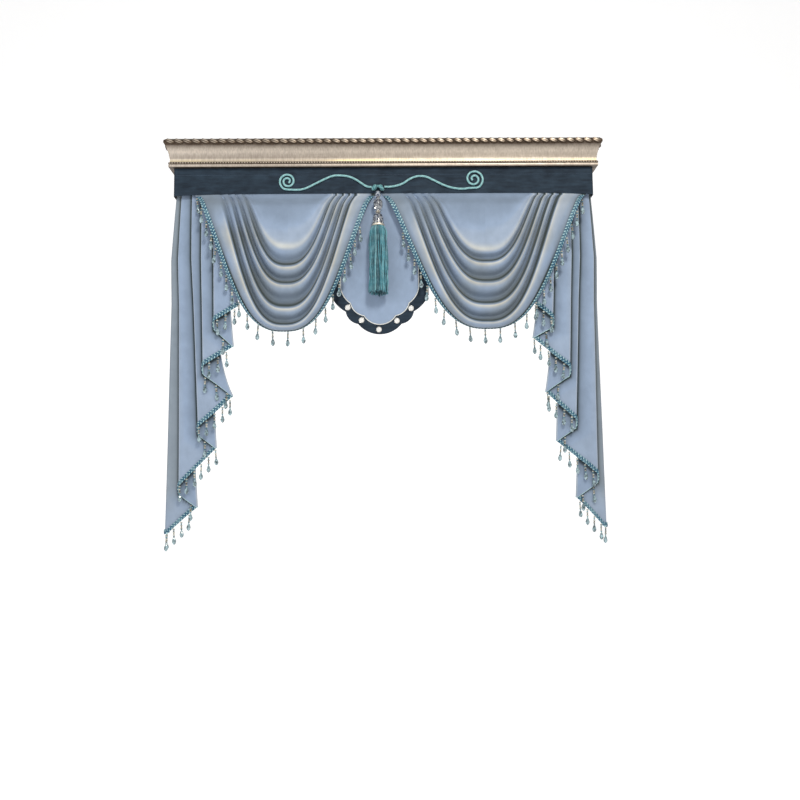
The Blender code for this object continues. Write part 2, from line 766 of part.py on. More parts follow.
def add_cord(name, points, radius, finish, resolution=2):
    """A round cord: a straight-sided spline through close points, with a bevel and filled caps."""
    curve = bpy.data.curves.new(name, "CURVE")
    curve.dimensions = "3D"
    curve.bevel_depth = radius
    curve.bevel_resolution = resolution
    curve.use_fill_caps = True
    spline = curve.splines.new("POLY")
    spline.points.add(len(points) - 1)
    for knot, point in zip(spline.points, points):
        knot.co = (*point, 1.0)
    curve.materials.append(finish)
    made = bpy.data.objects.new(name, curve)
    COLLECTION.objects.link(made)
    return made


def make_pendant():
    base = mirrored(scalloped_half(BASE_CORNERS, BASE_BULGES, BASE_LAST_BULGE))
    panel = mirrored(scalloped_half(PANEL_CORNERS, PANEL_BULGES, PANEL_LAST_BULGE))
    add_flat("pendant_base", base, BASE_DEPTH, PENDANT_THICK, NAVY_VELVET)
    add_flat("pendant_panel", panel, PANEL_DEPTH, PENDANT_THICK, BLUE_VELVET)
    front = BASE_DEPTH + PENDANT_THICK / 2 + GAP
    round_panel = beside(panel, PIPING_RADIUS + 2 * GAP)
    route = [(PENDANT_X + x, -(front + PIPING_RADIUS), z) for x, z in round_panel]
    route[0] = (route[0][0], route[0][1], PIPING_TOP)
    route[-1] = (route[-1][0], route[-1][1], PIPING_TOP)
    add_cord("pendant_piping", route, PIPING_RADIUS, WHITE_PIPING, 1)
    for number, (x, z) in enumerate(STUD_PLACES, 1):
        mesh = bmesh.new()
        bmesh.ops.create_uvsphere(mesh, u_segments=12, v_segments=6, radius=STUD_RADIUS)
        bmesh.ops.rotate(mesh, verts=mesh.verts, matrix=Matrix.Rotation(math.pi / 2, 3, "X"))
        geom = mesh.verts[:] + mesh.edges[:] + mesh.faces[:]
        level = {"plane_co": (0, 0, 0), "plane_no": (0, 1, 0)}
        cut = bmesh.ops.bisect_plane(mesh, geom=geom, clear_outer=True, **level)
        rim = [item for item in cut["geom_cut"] if isinstance(item, bmesh.types.BMEdge)]
        bmesh.ops.holes_fill(mesh, edges=rim)
        bmesh.ops.scale(mesh, verts=mesh.verts, vec=(1, STUD_HEIGHT / STUD_RADIUS, 1))
        bmesh.ops.recalc_face_normals(mesh, faces=mesh.faces)
        stud = smooth(add_object(f"stud_{number}", mesh, PEARL))
        stud.location = (PENDANT_X + x, -front, z)


# Scroll cord and knot


def spiral_points(spiral):
    """(x, z) from the spiral's outer end inwards."""
    count = round(spiral["turns"] * SPIRAL_POINTS_PER_TURN)
    points = []
    for step in range(1, count + 1):
        share = step / count
        radius = spiral["outer"] + (SPIRAL_EYE - spiral["outer"]) * share
        angle = math.radians(spiral["start"]) + spiral["way"] * share * spiral["turns"] * math.tau
        points.append((spiral["x"] + radius * math.cos(angle), spiral["z"] + radius * math.sin(angle)))
    return points


def make_scroll(name, wave, spiral):
    route = list(wave) + spiral_points(spiral)
    add_cord(name, [(x, -CORD_DEPTH, z) for x, z in route], CORD_RADIUS, AQUA_CORD)


def make_knot():
    """Wraps of the cord over the crossing: a ridged profile turned about a level axis."""
    length = KNOT_X[1] - KNOT_X[0]
    mesh = bmesh.new()
    steps = KNOT_STEPS_PER_WRAP * KNOT_WRAPS
    profile = [(0, 0)]
    for step in range(steps + 1):
        share = step / steps
        ridge = abs(math.sin(share * KNOT_WRAPS * math.pi))
        crown = 1 - KNOT_CROWN * (2 * share - 1) ** 2
        profile.append((share * length, (KNOT_RADIUS - KNOT_RIDGE + KNOT_RIDGE * ridge) * crown))
    profile.append((length, 0))
    verts = [mesh.verts.new((x, 0, radius)) for x, radius in profile]
    edges = [mesh.edges.new(pair) for pair in zip(verts, verts[1:])]
    bmesh.ops.spin(
        mesh,
        geom=verts + edges,
        cent=(0, 0, 0),
        axis=(1, 0, 0),
        angle=math.tau,
        steps=KNOT_STEPS_ROUND,
    )
    bmesh.ops.remove_doubles(mesh, verts=mesh.verts, dist=0.00001)
    bmesh.ops.recalc_face_normals(mesh, faces=mesh.faces)
    knot = smooth(add_object("knot", mesh, AQUA_CORD), 60)
    knot.location = (KNOT_X[0], -(FRONT + GAP + KNOT_RADIUS), KNOT_Z)


# Tassel


def turned(name, profile, top, finish, parent):
    """A turned piece from a profile of (radius, height), on the tassel's axis at a height below the knot."""
    mesh = bmesh.new()
    outline = [(0, profile[0][1]), *profile, (0, profile[-1][1])]
    verts = [mesh.verts.new((radius, 0, z)) for radius, z in outline]
    for pair in zip(verts, verts[1:]):
        mesh.edges.new(pair)
    made = add_object(name, mesh, finish)
    spin = made.modifiers.new("turned", "SCREW")
    spin.steps = TURNED_STEPS
    spin.render_steps = TURNED_STEPS
    spin.use_merge_vertices = True
    spin.merge_threshold = 0.00001
    made.location = (0, 0, top)
    made.parent = parent
    return profile[-1][1]


def turn_of(face):
    """Where a face lies round the tassel's axis."""
    middle = face.calc_center_median()
    return math.atan2(middle.y, middle.x)


def make_skirt(top, parent):
    """A wound head whose lower face grows two rings of strands."""
    mesh = bmesh.new()
    bmesh.ops.create_cone(
        mesh,
        cap_ends=True,
        segments=SKIRT_SEGMENTS,
        radius1=SKIRT_ROOT_RADIUS,
        radius2=SKIRT_TOP_RADIUS,
        depth=SKIRT_HEAD,
    )
    bmesh.ops.translate(mesh, verts=mesh.verts, vec=(0, 0, -SKIRT_HEAD / 2))
    under = min(mesh.faces, key=lambda face: face.calc_center_median().z)
    strands = []
    for ring in range(2):
        inset = bmesh.ops.inset_region(mesh, faces=[under], thickness=SKIRT_RING, use_even_offset=True)
        around = sorted(inset["faces"], key=turn_of)
        step = 2 if ring == 0 else 4
        strands += around[ring::step]
    for number, face in enumerate(strands):
        base = [vert.co.copy() for vert in face.verts]
        lean = STRAND_WAVE * math.sin(STRAND_WAVE_TURN * number)
        for length, spread in SKIRT_SECTIONS:
            face = bmesh.ops.extrude_discrete_faces(mesh, faces=[face])["faces"][0]
            uneven = length * (1 + STRAND_UNEVEN * math.sin(STRAND_UNEVEN_TURN * number))
            for vert, start in zip(face.verts, base):
                middle = sum(base, Vector()) / len(base)
                near = middle * spread + (start - middle) * STRAND_SHRINK
                vert.co = (near.x + lean * spread, near.y - lean, start.z - uneven)
            lean = -lean
    bmesh.ops.recalc_face_normals(mesh, faces=mesh.faces)
    skirt = add_object("tassel_skirt", mesh, TEAL_YARN)
    skirt.location = (0, 0, top)
    skirt.parent = parent


def make_tassel():
    axis = bpy.data.objects.new("tassel_axis", None)
    COLLECTION.objects.link(axis)
    axis.location = (TASSEL_X, TASSEL_Y, TASSEL_TOP)
    axis.rotation_euler = (-TASSEL_LEAN, 0, 0)
    top = -2 * GAP
    pieces = (
        ("tassel_bead_top", BEAD_TOP_PROFILE, CRYSTAL),
        ("tassel_cap", CAP_PROFILE, CRYSTAL),
        ("tassel_bead_middle", BEAD_MIDDLE_PROFILE, GOLD),
        ("tassel_bell", BELL_PROFILE, CRYSTAL),
        ("tassel_collar", COLLAR_PROFILE, GOLD),
    )
    for name, profile, finish in pieces:
        top += turned(name, profile, top, finish, axis) - GAP
    make_skirt(top, axis)


make_cornice()
make_board()
make_band()
make_swag("swag_left", LEFT_SWAG)
make_swag("swag_right", RIGHT_SWAG)
make_tail("tail_left", LEFT_TAIL)
make_tail("tail_right", RIGHT_TAIL)
make_pendant()
make_scroll("scroll_cord_left", LEFT_WAVE, LEFT_SPIRAL)
make_scroll("scroll_cord_right", RIGHT_WAVE, RIGHT_SPIRAL)
make_knot()
make_tassel()
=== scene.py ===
"""Window valance with cornice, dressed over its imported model: carved and gilded moulding, velvet heading band,
two draped swags, two folded tails, a scalloped pendant, bead fringe, a rope scroll and a tassel.
Metres, +Z up, +X to the viewer's right, +Y towards the wall.
"""

import math

import bpy
import numpy as np
from mathutils import Matrix, Vector, noise


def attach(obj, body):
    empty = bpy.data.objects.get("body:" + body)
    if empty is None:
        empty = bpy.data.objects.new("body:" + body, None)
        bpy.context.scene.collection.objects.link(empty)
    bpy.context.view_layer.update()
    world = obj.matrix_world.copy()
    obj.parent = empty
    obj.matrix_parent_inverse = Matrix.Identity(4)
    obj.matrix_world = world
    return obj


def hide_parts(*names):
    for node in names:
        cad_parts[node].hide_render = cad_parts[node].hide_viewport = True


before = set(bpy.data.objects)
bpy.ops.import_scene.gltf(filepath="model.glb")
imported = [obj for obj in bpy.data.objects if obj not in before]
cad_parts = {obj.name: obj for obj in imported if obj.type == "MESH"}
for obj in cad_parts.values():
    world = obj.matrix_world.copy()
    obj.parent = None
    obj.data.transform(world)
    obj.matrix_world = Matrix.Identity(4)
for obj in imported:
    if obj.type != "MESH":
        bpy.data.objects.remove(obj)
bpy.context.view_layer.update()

# Camera: a little below the valance and level with its middle, looking slightly up

CAMERA_PLACE = (0.0025, -3.45, -1.3776)
CAMERA_PITCH, CAMERA_YAW, CAMERA_ROLL = 0.0922, 0.0162, -0.01031
SENSOR = 36.0
FOCAL_PIXELS, FRAME_PIXELS = 819.4, 800.0

look = Vector((
    math.sin(CAMERA_YAW) * math.cos(CAMERA_PITCH),
    math.cos(CAMERA_YAW) * math.cos(CAMERA_PITCH),
    math.sin(CAMERA_PITCH),
))
level = Vector((math.cos(CAMERA_YAW), -math.sin(CAMERA_YAW), 0.0))
over = level.cross(look)
aside = math.cos(CAMERA_ROLL) * level + math.sin(CAMERA_ROLL) * over
upward = math.cos(CAMERA_ROLL) * over - math.sin(CAMERA_ROLL) * level
camera_data = bpy.data.cameras.new("camera")
camera_data.sensor_width = SENSOR
camera_data.lens = SENSOR * FOCAL_PIXELS / FRAME_PIXELS
camera_data.clip_end = 100
camera = bpy.data.objects.new("camera", camera_data)
camera.matrix_world = Matrix((
    (aside.x, upward.x, -look.x, CAMERA_PLACE[0]),
    (aside.y, upward.y, -look.y, CAMERA_PLACE[1]),
    (aside.z, upward.z, -look.z, CAMERA_PLACE[2]),
    (0, 0, 0, 1),
))
bpy.context.scene.collection.objects.link(camera)
bpy.context.scene.camera = camera

# Studio: a white floor that sweeps up into a white backdrop, a warm light high on the right, a larger and weaker
# cool one low on the left, and an even white sky

FLOOR_HEIGHT, FLOOR_SIZE = -2.6, 16.0
SWEEP_RADIUS, SWEEP_STEPS = 1.5, 12
BACKDROP_PLACE, BACKDROP_RISE = 5.0, 7.5
BACKDROP_WHITE, BACKDROP_GLOW = (0.93, 0.93, 0.93), 0.45
SKY_STRENGTH = 0.42


def add_node(tree, kind, inputs=None, **settings):
    """A node in a tree. Each input, by name or number, is a value or the socket that it is linked from."""
    made = tree.nodes.new("ShaderNode" + kind)
    for name, value in settings.items():
        setattr(made, name, value)
    for name, value in (inputs or {}).items():
        if isinstance(value, bpy.types.NodeSocket):
            tree.links.new(value, made.inputs[name])
        else:
            made.inputs[name].default_value = value
    return made


def finish_of(name, colour, roughness, constants=None):
    """A finish with its own colour and roughness, and the constants of its shader by socket."""
    made = bpy.data.materials.new(name)
    made.use_nodes = True
    shader = made.node_tree.nodes["Principled BSDF"]
    shader.inputs["Base Color"].default_value = (*colour, 1.0)
    shader.inputs["Roughness"].default_value = roughness
    for socket, value in (constants or {}).items():
        shader.inputs[socket].default_value = value
    return made, made.node_tree, shader


def deselect():
    if bpy.context.object and bpy.context.object.mode != "OBJECT":
        bpy.ops.object.mode_set(mode="OBJECT")
    bpy.ops.object.select_all(action="DESELECT")


def pick(piece):
    """Selects one piece alone and makes it the active one."""
    deselect()
    piece.select_set(True)
    bpy.context.view_layer.objects.active = piece


def edit_where(piece, wanted, kind="VERT"):
    """Opens the piece in edit mode with only those vertices, edges or faces selected whose place is wanted."""
    pick(piece)
    bpy.ops.object.mode_set(mode="EDIT")
    bpy.ops.mesh.select_mode(type=kind)
    bpy.ops.mesh.select_all(action="DESELECT")
    bpy.ops.object.mode_set(mode="OBJECT")
    mesh = piece.data
    parts = {"VERT": mesh.vertices, "EDGE": mesh.edges, "FACE": mesh.polygons}[kind]
    for part in parts:
        if kind == "VERT":
            place = part.co
        elif kind == "FACE":
            place = part.center
        else:
            place = (mesh.vertices[part.vertices[0]].co + mesh.vertices[part.vertices[1]].co) / 2
        part.select = bool(wanted(place))
    bpy.ops.object.mode_set(mode="EDIT")


def edit_all(piece):
    pick(piece)
    bpy.ops.object.mode_set(mode="EDIT")
    bpy.ops.mesh.select_all(action="SELECT")


def back_to_object():
    bpy.ops.object.mode_set(mode="OBJECT")


deselect()
bpy.ops.mesh.primitive_plane_add(size=FLOOR_SIZE, location=(0, BACKDROP_PLACE - FLOOR_SIZE / 2, FLOOR_HEIGHT))
backdrop = bpy.context.object
backdrop.name = "studio_floor"
bpy.ops.object.transform_apply(location=True)
edit_where(backdrop, lambda place: place.y > BACKDROP_PLACE - 0.01, "EDGE")
bpy.ops.mesh.spin(
    steps=SWEEP_STEPS,
    angle=math.pi / 2,
    center=(0, BACKDROP_PLACE, FLOOR_HEIGHT + SWEEP_RADIUS),
    axis=(-1, 0, 0),
)
bpy.ops.mesh.extrude_region_move(TRANSFORM_OT_translate={"value": (0, 0, BACKDROP_RISE)})
back_to_object()
backdrop.data.shade_smooth()
glow = {"Emission Color": (1.0, 1.0, 1.0, 1.0), "Emission Strength": BACKDROP_GLOW}
backdrop.data.materials.append(finish_of("studio_white", BACKDROP_WHITE, 0.9, glow)[0])

sky = bpy.data.worlds.new("studio_sky")
sky.use_nodes = True
sky_light = sky.node_tree.nodes["Background"]
sky_light.inputs["Color"].default_value = (1.0, 1.0, 1.0, 1.0)
sky_light.inputs["Strength"].default_value = SKY_STRENGTH
bpy.context.scene.world = sky
bpy.context.scene.view_settings.view_transform = "Standard"

LIGHTS = (
    # name, place, size, power, colour
    ("key_light", (0.9, -3.5, 1.6), 0.8, 94.0, (1.0, 0.96, 0.89)),
    ("fill_light", (-2.8, -3.2, 0.4), 2.2, 38.0, (0.95, 0.97, 1.0)),
)
LIGHT_TARGET = Vector((0.0, -0.1, -0.5))
for name, place, size, power, colour in LIGHTS:
    lamp = bpy.data.lights.new(name, "AREA")
    lamp.size = size
    lamp.energy = power
    lamp.color = colour
    light = bpy.data.objects.new(name, lamp)
    light.location = place
    light.rotation_euler = (LIGHT_TARGET - Vector(place)).to_track_quat("-Z", "Y").to_euler()
    bpy.context.scene.collection.objects.link(light)

# Cornice: three lengths of carved wooden moulding, mitred at the corners and glued and pinned to the dust board.
# A rope of slanted leaves runs along the top, a cove under it is combed with fine upright lines, and a row of
# small beads stands over the fillet. All is silver-gold leaf with dark bronze wax left in the hollows; its colour
# also carries painted shade, painted light and a painted gold reflection, set by height.

GAP = 0.0003
HALF_WIDTH = 0.868
FRONT = 0.160
BAND_THICK = 0.003
BAND_TOP = -0.068
CORNICE_TOP = 0.009
CORNICE_BOTTOM = -0.107
WALL_GAP = 0.001
TOP_BEAD_PLACE, TOP_BEAD_REACH, TOP_BEAD_HALF = (0.0285, -0.0055), 0.0068, 0.0105
TOP_BACK = 0.026
COVE_BACK, COVE_REACH, COVE_CURVE = 0.0125, 0.0145, 1.7
COVE_TOP, COVE_FALL, COVE_STEPS = -0.0205, 0.0630, 40
LIP = ((0.0150, -0.0842), (0.0150, -0.0862))
LOW_BEAD_PLACE, GROOVE_REACH, GROOVE_HALF = (0.0155, -0.0905), 0.0028, 0.0040
FILLET = ((0.0165, -0.0955), (0.0175, -0.0965), (0.0175, -0.1055), (0.0165, CORNICE_BOTTOM))
MOULDING_LEAF_AND_LIGHT = (
    # z, leaf left over the wax and painted light: painted shade under the rope and, with the wax, round the beads,
    # a lighter cove middle, and over 1.1 a painted gold reflection near the cove's foot
    (-0.1070, 0.15),
    (-0.1058, 0.70),
    (-0.1035, 1.00),
    (-0.0965, 0.95),
    (-0.0950, 0.20),
    (-0.0845, 0.10),
    (-0.0830, 0.60),
    (-0.0818, 1.50),
    (-0.0800, 1.50),
    (-0.0788, 1.20),
    (-0.0745, 1.32),
    (-0.0705, 0.72),
    (-0.0670, 0.68),
    (-0.0560, 0.80),
    (-0.0450, 1.02),
    (-0.0330, 0.86),
    (-0.0240, 0.50),
    (-0.0205, 0.35),
    (-0.0160, 0.08),
    (-0.0040, 0.20),
    (0.0090, 0.45),
)


def half_round(place, reach, height, first, last, count):
    turns = np.radians(np.linspace(first, last, count))
    return [(place[0] + reach * math.cos(turn), place[1] + height * math.sin(turn)) for turn in turns]


def cornice_outline():
    """(forward, z) round the moulding's section, from its top round the front to its back."""
    top = half_round(TOP_BEAD_PLACE, TOP_BEAD_REACH, TOP_BEAD_HALF, 80, -80, 9)
    cove = []
    for step in range(COVE_STEPS + 1):
        share = step / COVE_STEPS
        cove.append((COVE_BACK + COVE_REACH * (1 - share) ** COVE_CURVE, COVE_TOP - COVE_FALL * share))
    groove = half_round(LOW_BEAD_PLACE, GROOVE_REACH, GROOVE_HALF, 80, -80, 6)
    rebate = BAND_TOP + GAP
    back = [(GAP, CORNICE_BOTTOM), (GAP, rebate), (-BAND_THICK, rebate), (-BAND_THICK, CORNICE_TOP)]
    return [(TOP_BACK, CORNICE_TOP), *top, *cove, *LIP, *groove, *FILLET, *back]


def moulding_length(name, way, start, run):
    """One length: its section is drawn by extruding a point round the outline, then filled and extruded."""
    outline = cornice_outline()
    deselect()
    bpy.ops.mesh.primitive_plane_add(size=0.001, location=(0, 0, 0))
    piece = bpy.context.object
    piece.name = name
    bpy.ops.object.mode_set(mode="EDIT")
    bpy.ops.mesh.select_mode(type="VERT")
    bpy.ops.mesh.merge(type="CENTER")
    first = Vector(start) + Vector(way) * outline[0][0] + Vector((0, 0, outline[0][1]))
    bpy.ops.transform.translate(value=first)
    for before, after in zip(outline, outline[1:]):
        step = Vector(way) * (after[0] - before[0]) + Vector((0, 0, after[1] - before[1]))
        bpy.ops.mesh.extrude_vertices_move(TRANSFORM_OT_translate={"value": step})
    bpy.ops.mesh.select_all(action="SELECT")
    bpy.ops.mesh.edge_face_add()
    bpy.ops.mesh.extrude_region_move(TRANSFORM_OT_translate={"value": run})
    return piece


def mitre(place, facing, keep_inner):
    """Cuts the piece that is open in edit mode along an upright plane and closes the cut."""
    bpy.ops.mesh.select_all(action="SELECT")
    bpy.ops.mesh.bisect(
        plane_co=place, plane_no=facing, use_fill=True, clear_inner=not keep_inner, clear_outer=keep_inner
    )


def close_shell(piece, crease=35):
    """Finishes a piece: its normals point outwards, and it is smooth but for its sharp edges."""
    edit_all(piece)
    bpy.ops.mesh.normals_make_consistent(inside=False)
    back_to_object()
    bpy.ops.object.shade_smooth_by_angle(angle=math.radians(crease))
    return piece


def as_one(name, pieces):
    """The pieces joined into the first, with their places in the mesh."""
    deselect()
    for piece in pieces:
        piece.select_set(True)
    bpy.context.view_layer.objects.active = pieces[0]
    if len(pieces) > 1:
        bpy.ops.object.join()
    bpy.ops.object.transform_apply(location=True, rotation=True, scale=True)
    pieces[0].name = name
    return pieces[0]


def settle(piece, slot, *nodes):
    """The piece rides on the valance and stands for these nodes, whose imported parts are hidden. The slot is not
    used.
    """
    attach(piece, "root")
    if nodes:
        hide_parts(*nodes)


# Two effects that several finishes share: leaf or metal with wax in its hollows and a painted gold reflection,
# and the nap of a pile cloth, which also carries painted shade and painted highlights


def group_of(name, inputs, outputs):
    tree = bpy.data.node_groups.new(name, "ShaderNodeTree")
    for label, kind, value in inputs:
        socket = tree.interface.new_socket(label, in_out="INPUT", socket_type="NodeSocket" + kind)
        socket.default_value = value
    for label, kind in outputs:
        tree.interface.new_socket(label, in_out="OUTPUT", socket_type="NodeSocket" + kind)
    return tree, tree.nodes.new("NodeGroupInput"), tree.nodes.new("NodeGroupOutput")


def mix_colour(tree, factor, a, b, blend="MIX"):
    made = add_node(tree, "Mix", {0: factor, 6: a, 7: b}, data_type="RGBA", blend_type=blend)
    return made.outputs[2]


def place_in(tree):
    return add_node(tree, "TexCoord").outputs["Object"]


def speckled(tree, place, scale, **more):
    """Noise at a place; further inputs of its node by name."""
    return add_node(tree, "TexNoise", {"Vector": place, "Scale": scale, **more}).outputs[0]


def scaled_place(tree, place, scale):
    return add_node(tree, "Mapping", {"Vector": place, "Scale": scale}).outputs[0]


def remap(tree, value, low=0.0, high=1.0, to_low=0.0, to_high=1.0):
    """The value's share of the way from low to high, clamped, put between the two new ends."""
    ends = {"Value": value, "From Min": low, "From Max": high, "To Min": to_low, "To Max": to_high}
    return add_node(tree, "MapRange", ends).outputs[0]


def maths(tree, operation, *values, **settings):
    return add_node(tree, "Math", dict(enumerate(values)), operation=operation, **settings).outputs[0]


leaf_wax_and_gleam, given, put_out = group_of(
    "leaf_wax_and_gleam",
    [("Leaf", "Color", (0.6, 0.5, 0.4, 1)), ("Wax", "Color", (0.05, 0.04, 0.03, 1)), ("Leaf_Wax_And_Light", "Float", 1.0),
     ("Comb", "Float", 0.0)],
    [("Colour", "Color"), ("Roughness", "Float"), ("Height", "Float")],
)
place = place_in(leaf_wax_and_gleam)
cloud = speckled(leaf_wax_and_gleam, place, 38.0, Detail=5.0, Roughness=0.65)
speck = speckled(leaf_wax_and_gleam, place, 420.0, Detail=3.0)
lines = speckled(leaf_wax_and_gleam, scaled_place(leaf_wax_and_gleam, place, (290.0, 290.0, 9.0)), 1.0, Detail=2.0)
worn = remap(leaf_wax_and_gleam, cloud, 0.35, 0.7, 0.0, 0.16)
combed = maths(leaf_wax_and_gleam, "MULTIPLY", remap(leaf_wax_and_gleam, lines, 0.38, 0.68), given.outputs["Comb"])
bare = maths(leaf_wax_and_gleam, "SUBTRACT", given.outputs["Leaf_Wax_And_Light"], worn, use_clamp=True)
tint = mix_colour(leaf_wax_and_gleam, bare, given.outputs["Wax"], given.outputs["Leaf"])
# painted reflection: where the tone is over 1.1, the leaf turns to bright gold in noisy patches
painted_reflection = remap(leaf_wax_and_gleam, given.outputs["Leaf_Wax_And_Light"], 1.1, 1.5)
reflection_patches = remap(leaf_wax_and_gleam, speckled(leaf_wax_and_gleam, place, 3.1, Detail=1.0), 0.44, 0.58)
gold = mix_colour(leaf_wax_and_gleam, reflection_patches, (0.50, 0.42, 0.30, 1), (0.98, 0.80, 0.38, 1))
tint = mix_colour(leaf_wax_and_gleam, painted_reflection, tint, gold)
darker = mix_colour(leaf_wax_and_gleam, combed, tint, given.outputs["Wax"])
leaf_wax_and_gleam.links.new(darker, put_out.inputs["Colour"])
leaf_wax_and_gleam.links.new(remap(leaf_wax_and_gleam, speck, to_low=0.30, to_high=0.52), put_out.inputs["Roughness"])
leaf_wax_and_gleam.links.new(maths(leaf_wax_and_gleam, "MULTIPLY_ADD", combed, 1.6, speck), put_out.inputs["Height"])


def use_group(tree, shader, group, inputs, bump_distance):
    """Places an effect in a finish. Its colour and roughness feed the shader, its height the shader's normal."""
    made = add_node(tree, "Group")
    made.node_tree = group
    for name, value in inputs.items():
        if isinstance(value, bpy.types.NodeSocket):
            tree.links.new(value, made.inputs[name])
        else:
            made.inputs[name].default_value = value
    tree.links.new(made.outputs["Colour"], shader.inputs["Base Color"])
    tree.links.new(made.outputs["Roughness"], shader.inputs["Roughness"])
    bump = add_node(tree, "Bump", {"Height": made.outputs["Height"], "Distance": bump_distance, "Strength": 0.8})
    tree.links.new(bump.outputs[0], shader.inputs["Normal"])
    return made


LEAF_COLOUR = (0.64, 0.56, 0.475, 1)
WAX_COLOUR = (0.075, 0.052, 0.036, 1)


def gilded(name, hollow, comb, leaf=LEAF_COLOUR):
    """Silver-gold leaf. The piece's own tone attribute, if any, marks the hollows and, on the moulding, painted
    light.
    """
    made, tree, shader = finish_of(name, leaf[:3], 0.4, {"Metallic": 0.82})
    inputs = {"Leaf": leaf, "Wax": WAX_COLOUR, "Leaf_Wax_And_Light": hollow, "Comb": comb}
    if hollow is None:
        inputs["Leaf_Wax_And_Light"] = add_node(tree, "Attribute", attribute_name="tone").outputs["Fac"]
    use_group(tree, shader, leaf_wax_and_gleam, inputs, 0.0004)
    return made


combed_leaf = gilded("gilt_combed", None, 0.26)
carved_leaf = gilded("gilt_carved", None, 0.0, (0.74, 0.64, 0.52, 1))

# The lengths before their mitres are cut
FRONT_BLANK, RETURN_BLANK = 2.2, 0.3
front_moulding = moulding_length("moulding_front", (0, -1, 0), (-FRONT_BLANK / 2, -FRONT, 0), (FRONT_BLANK, 0, 0))
mitre((-(HALF_WIDTH - GAP), -FRONT, 0), (1, -1, 0), False)
mitre((HALF_WIDTH - GAP, -FRONT, 0), (-1, -1, 0), False)
close_shell(front_moulding)
side_mouldings = []
for side in (-1, 1):
    start = (side * HALF_WIDTH, -RETURN_BLANK, 0)
    length = moulding_length(f"moulding_side_{side}", (side, 0, 0), start, (0, RETURN_BLANK - WALL_GAP, 0))
    mitre((side * HALF_WIDTH, -(FRONT - GAP), 0), (-side, -1, 0), True)
    side_mouldings.append(close_shell(length))
for piece, node in zip([front_moulding, *side_mouldings], ("cornice_front", "cornice_left", "cornice_right")):
    piece.data.materials.append(combed_leaf)
    # tone by height: wax in the hollows, with painted shade, painted light and a painted gold reflection
    heights, leaf_and_light = zip(*MOULDING_LEAF_AND_LIGHT)
    tones = np.interp([vert.co.z for vert in piece.data.vertices], heights, leaf_and_light)
    piece.data.attributes.new("tone", "FLOAT", "POINT").data.foreach_set("value", tones)
    settle(as_one(piece.name, [piece]), "moulding", node)
side_mouldings[0].name = "moulding_left"
side_mouldings[1].name = "moulding_right"

# Carving: the rope of leaves and the row of beads, each cut in the wood once and repeated along the lengths

LEAF_PITCH, LEAF_HALF, LEAF_TILT = 0.0358, (0.0235, 0.0085, 0.0106), math.radians(22)
LEAF_PROUD, LEAF_DROP = 0.0045, 0.0002
VEIN_WIDTH, VEIN_LONG, VEIN_DEPTH = 0.0016, 0.018, 0.0032
TIP_FROM, TIP_PUSH = 0.014, Vector((-0.001, 0, 0.0022))
CURL_RADIUS, CURL_THICK, CURL_PLACE = 0.0034, 0.0016, Vector((0.0195, -0.0035, 0.0050))
BEAD_PITCH, BEAD_RADIUS, BEAD_PROUD = 0.0110, 0.0040, 0.0022
SIDE_LEAVES, SIDE_LEAF_START, SIDE_BEAD_START = 4, -0.030, -0.008


def tone_by_depth(piece, depth_of, low, high):
    """Stores how far each point stands out of the ground, for the finish: 0 in the hollows and 1 on the crests."""
    values = [min(max((depth_of(vert.co) - low) / (high - low), 0.0), 1.0) for vert in piece.data.vertices]
    piece.data.attributes.new("tone", "FLOAT", "POINT").data.foreach_set("value", values)


def carved_leaf_piece():
    """One slanted leaf: a long bud with pinched tips, a vein pressed down its middle and a curl at each end."""
    deselect()
    bpy.ops.mesh.primitive_uv_sphere_add(segments=16, ring_count=10, radius=1.0)
    leaf = bpy.context.object
    bpy.ops.transform.rotate(value=math.pi / 2, orient_axis="Y", center_override=(0, 0, 0))
    bpy.ops.object.transform_apply(rotation=True)
    bpy.ops.transform.resize(value=LEAF_HALF)
    bpy.ops.object.transform_apply(scale=True)
    edit_where(leaf, lambda at: at.y < -0.002 and abs(at.z) < VEIN_WIDTH and abs(at.x) < VEIN_LONG)
    bpy.ops.transform.translate(value=(0, VEIN_DEPTH, 0))
    edit_where(leaf, lambda at: at.x > TIP_FROM)
    bpy.ops.transform.translate(value=TIP_PUSH)
    edit_where(leaf, lambda at: at.x < -TIP_FROM)
    bpy.ops.transform.translate(value=-TIP_PUSH)
    back_to_object()
    curls = [leaf]
    for side in (-1, 1):
        deselect()
        bpy.ops.mesh.primitive_torus_add(
            major_segments=10, minor_segments=6, major_radius=CURL_RADIUS, minor_radius=CURL_THICK,
            location=(side * CURL_PLACE.x, CURL_PLACE.y, side * CURL_PLACE.z), rotation=(math.pi / 2, 0, 0),
        )
        curls.append(bpy.context.object)
    leaf = as_one("leaf", curls)
    tone_by_depth(leaf, lambda place: -place.y + 0.10 * place.z, 0.0052, 0.0092)
    edit_all(leaf)
    bpy.ops.transform.rotate(value=-LEAF_TILT, orient_axis="Y", center_override=(0, 0, 0))
    back_to_object()
    return leaf


def along(piece, pitch, count, step):
    """Repeats the piece along a direction as one mesh."""
    pick(piece)
    row = piece.modifiers.new("row", "ARRAY")
    row.count = count
    row.use_relative_offset = False
    row.use_constant_offset = True
    row.constant_offset_displace = Vector(step) * pitch
    bpy.ops.object.modifier_apply(modifier=row.name)
    return piece


def copy_of(piece):
    twin = piece.copy()
    twin.data = piece.data.copy()
    bpy.context.scene.collection.objects.link(twin)
    return twin


def turned_to_side(piece, side):
    """Turns a piece made for the front so that it faces out of the left or right return."""
    edit_all(piece)
    bpy.ops.transform.rotate(value=side * math.pi / 2, orient_axis="Z", center_override=(0, 0, 0))
    back_to_object()


def moved(piece, way):
    edit_all(piece)
    bpy.ops.transform.translate(value=way)
    back_to_object()
    return piece


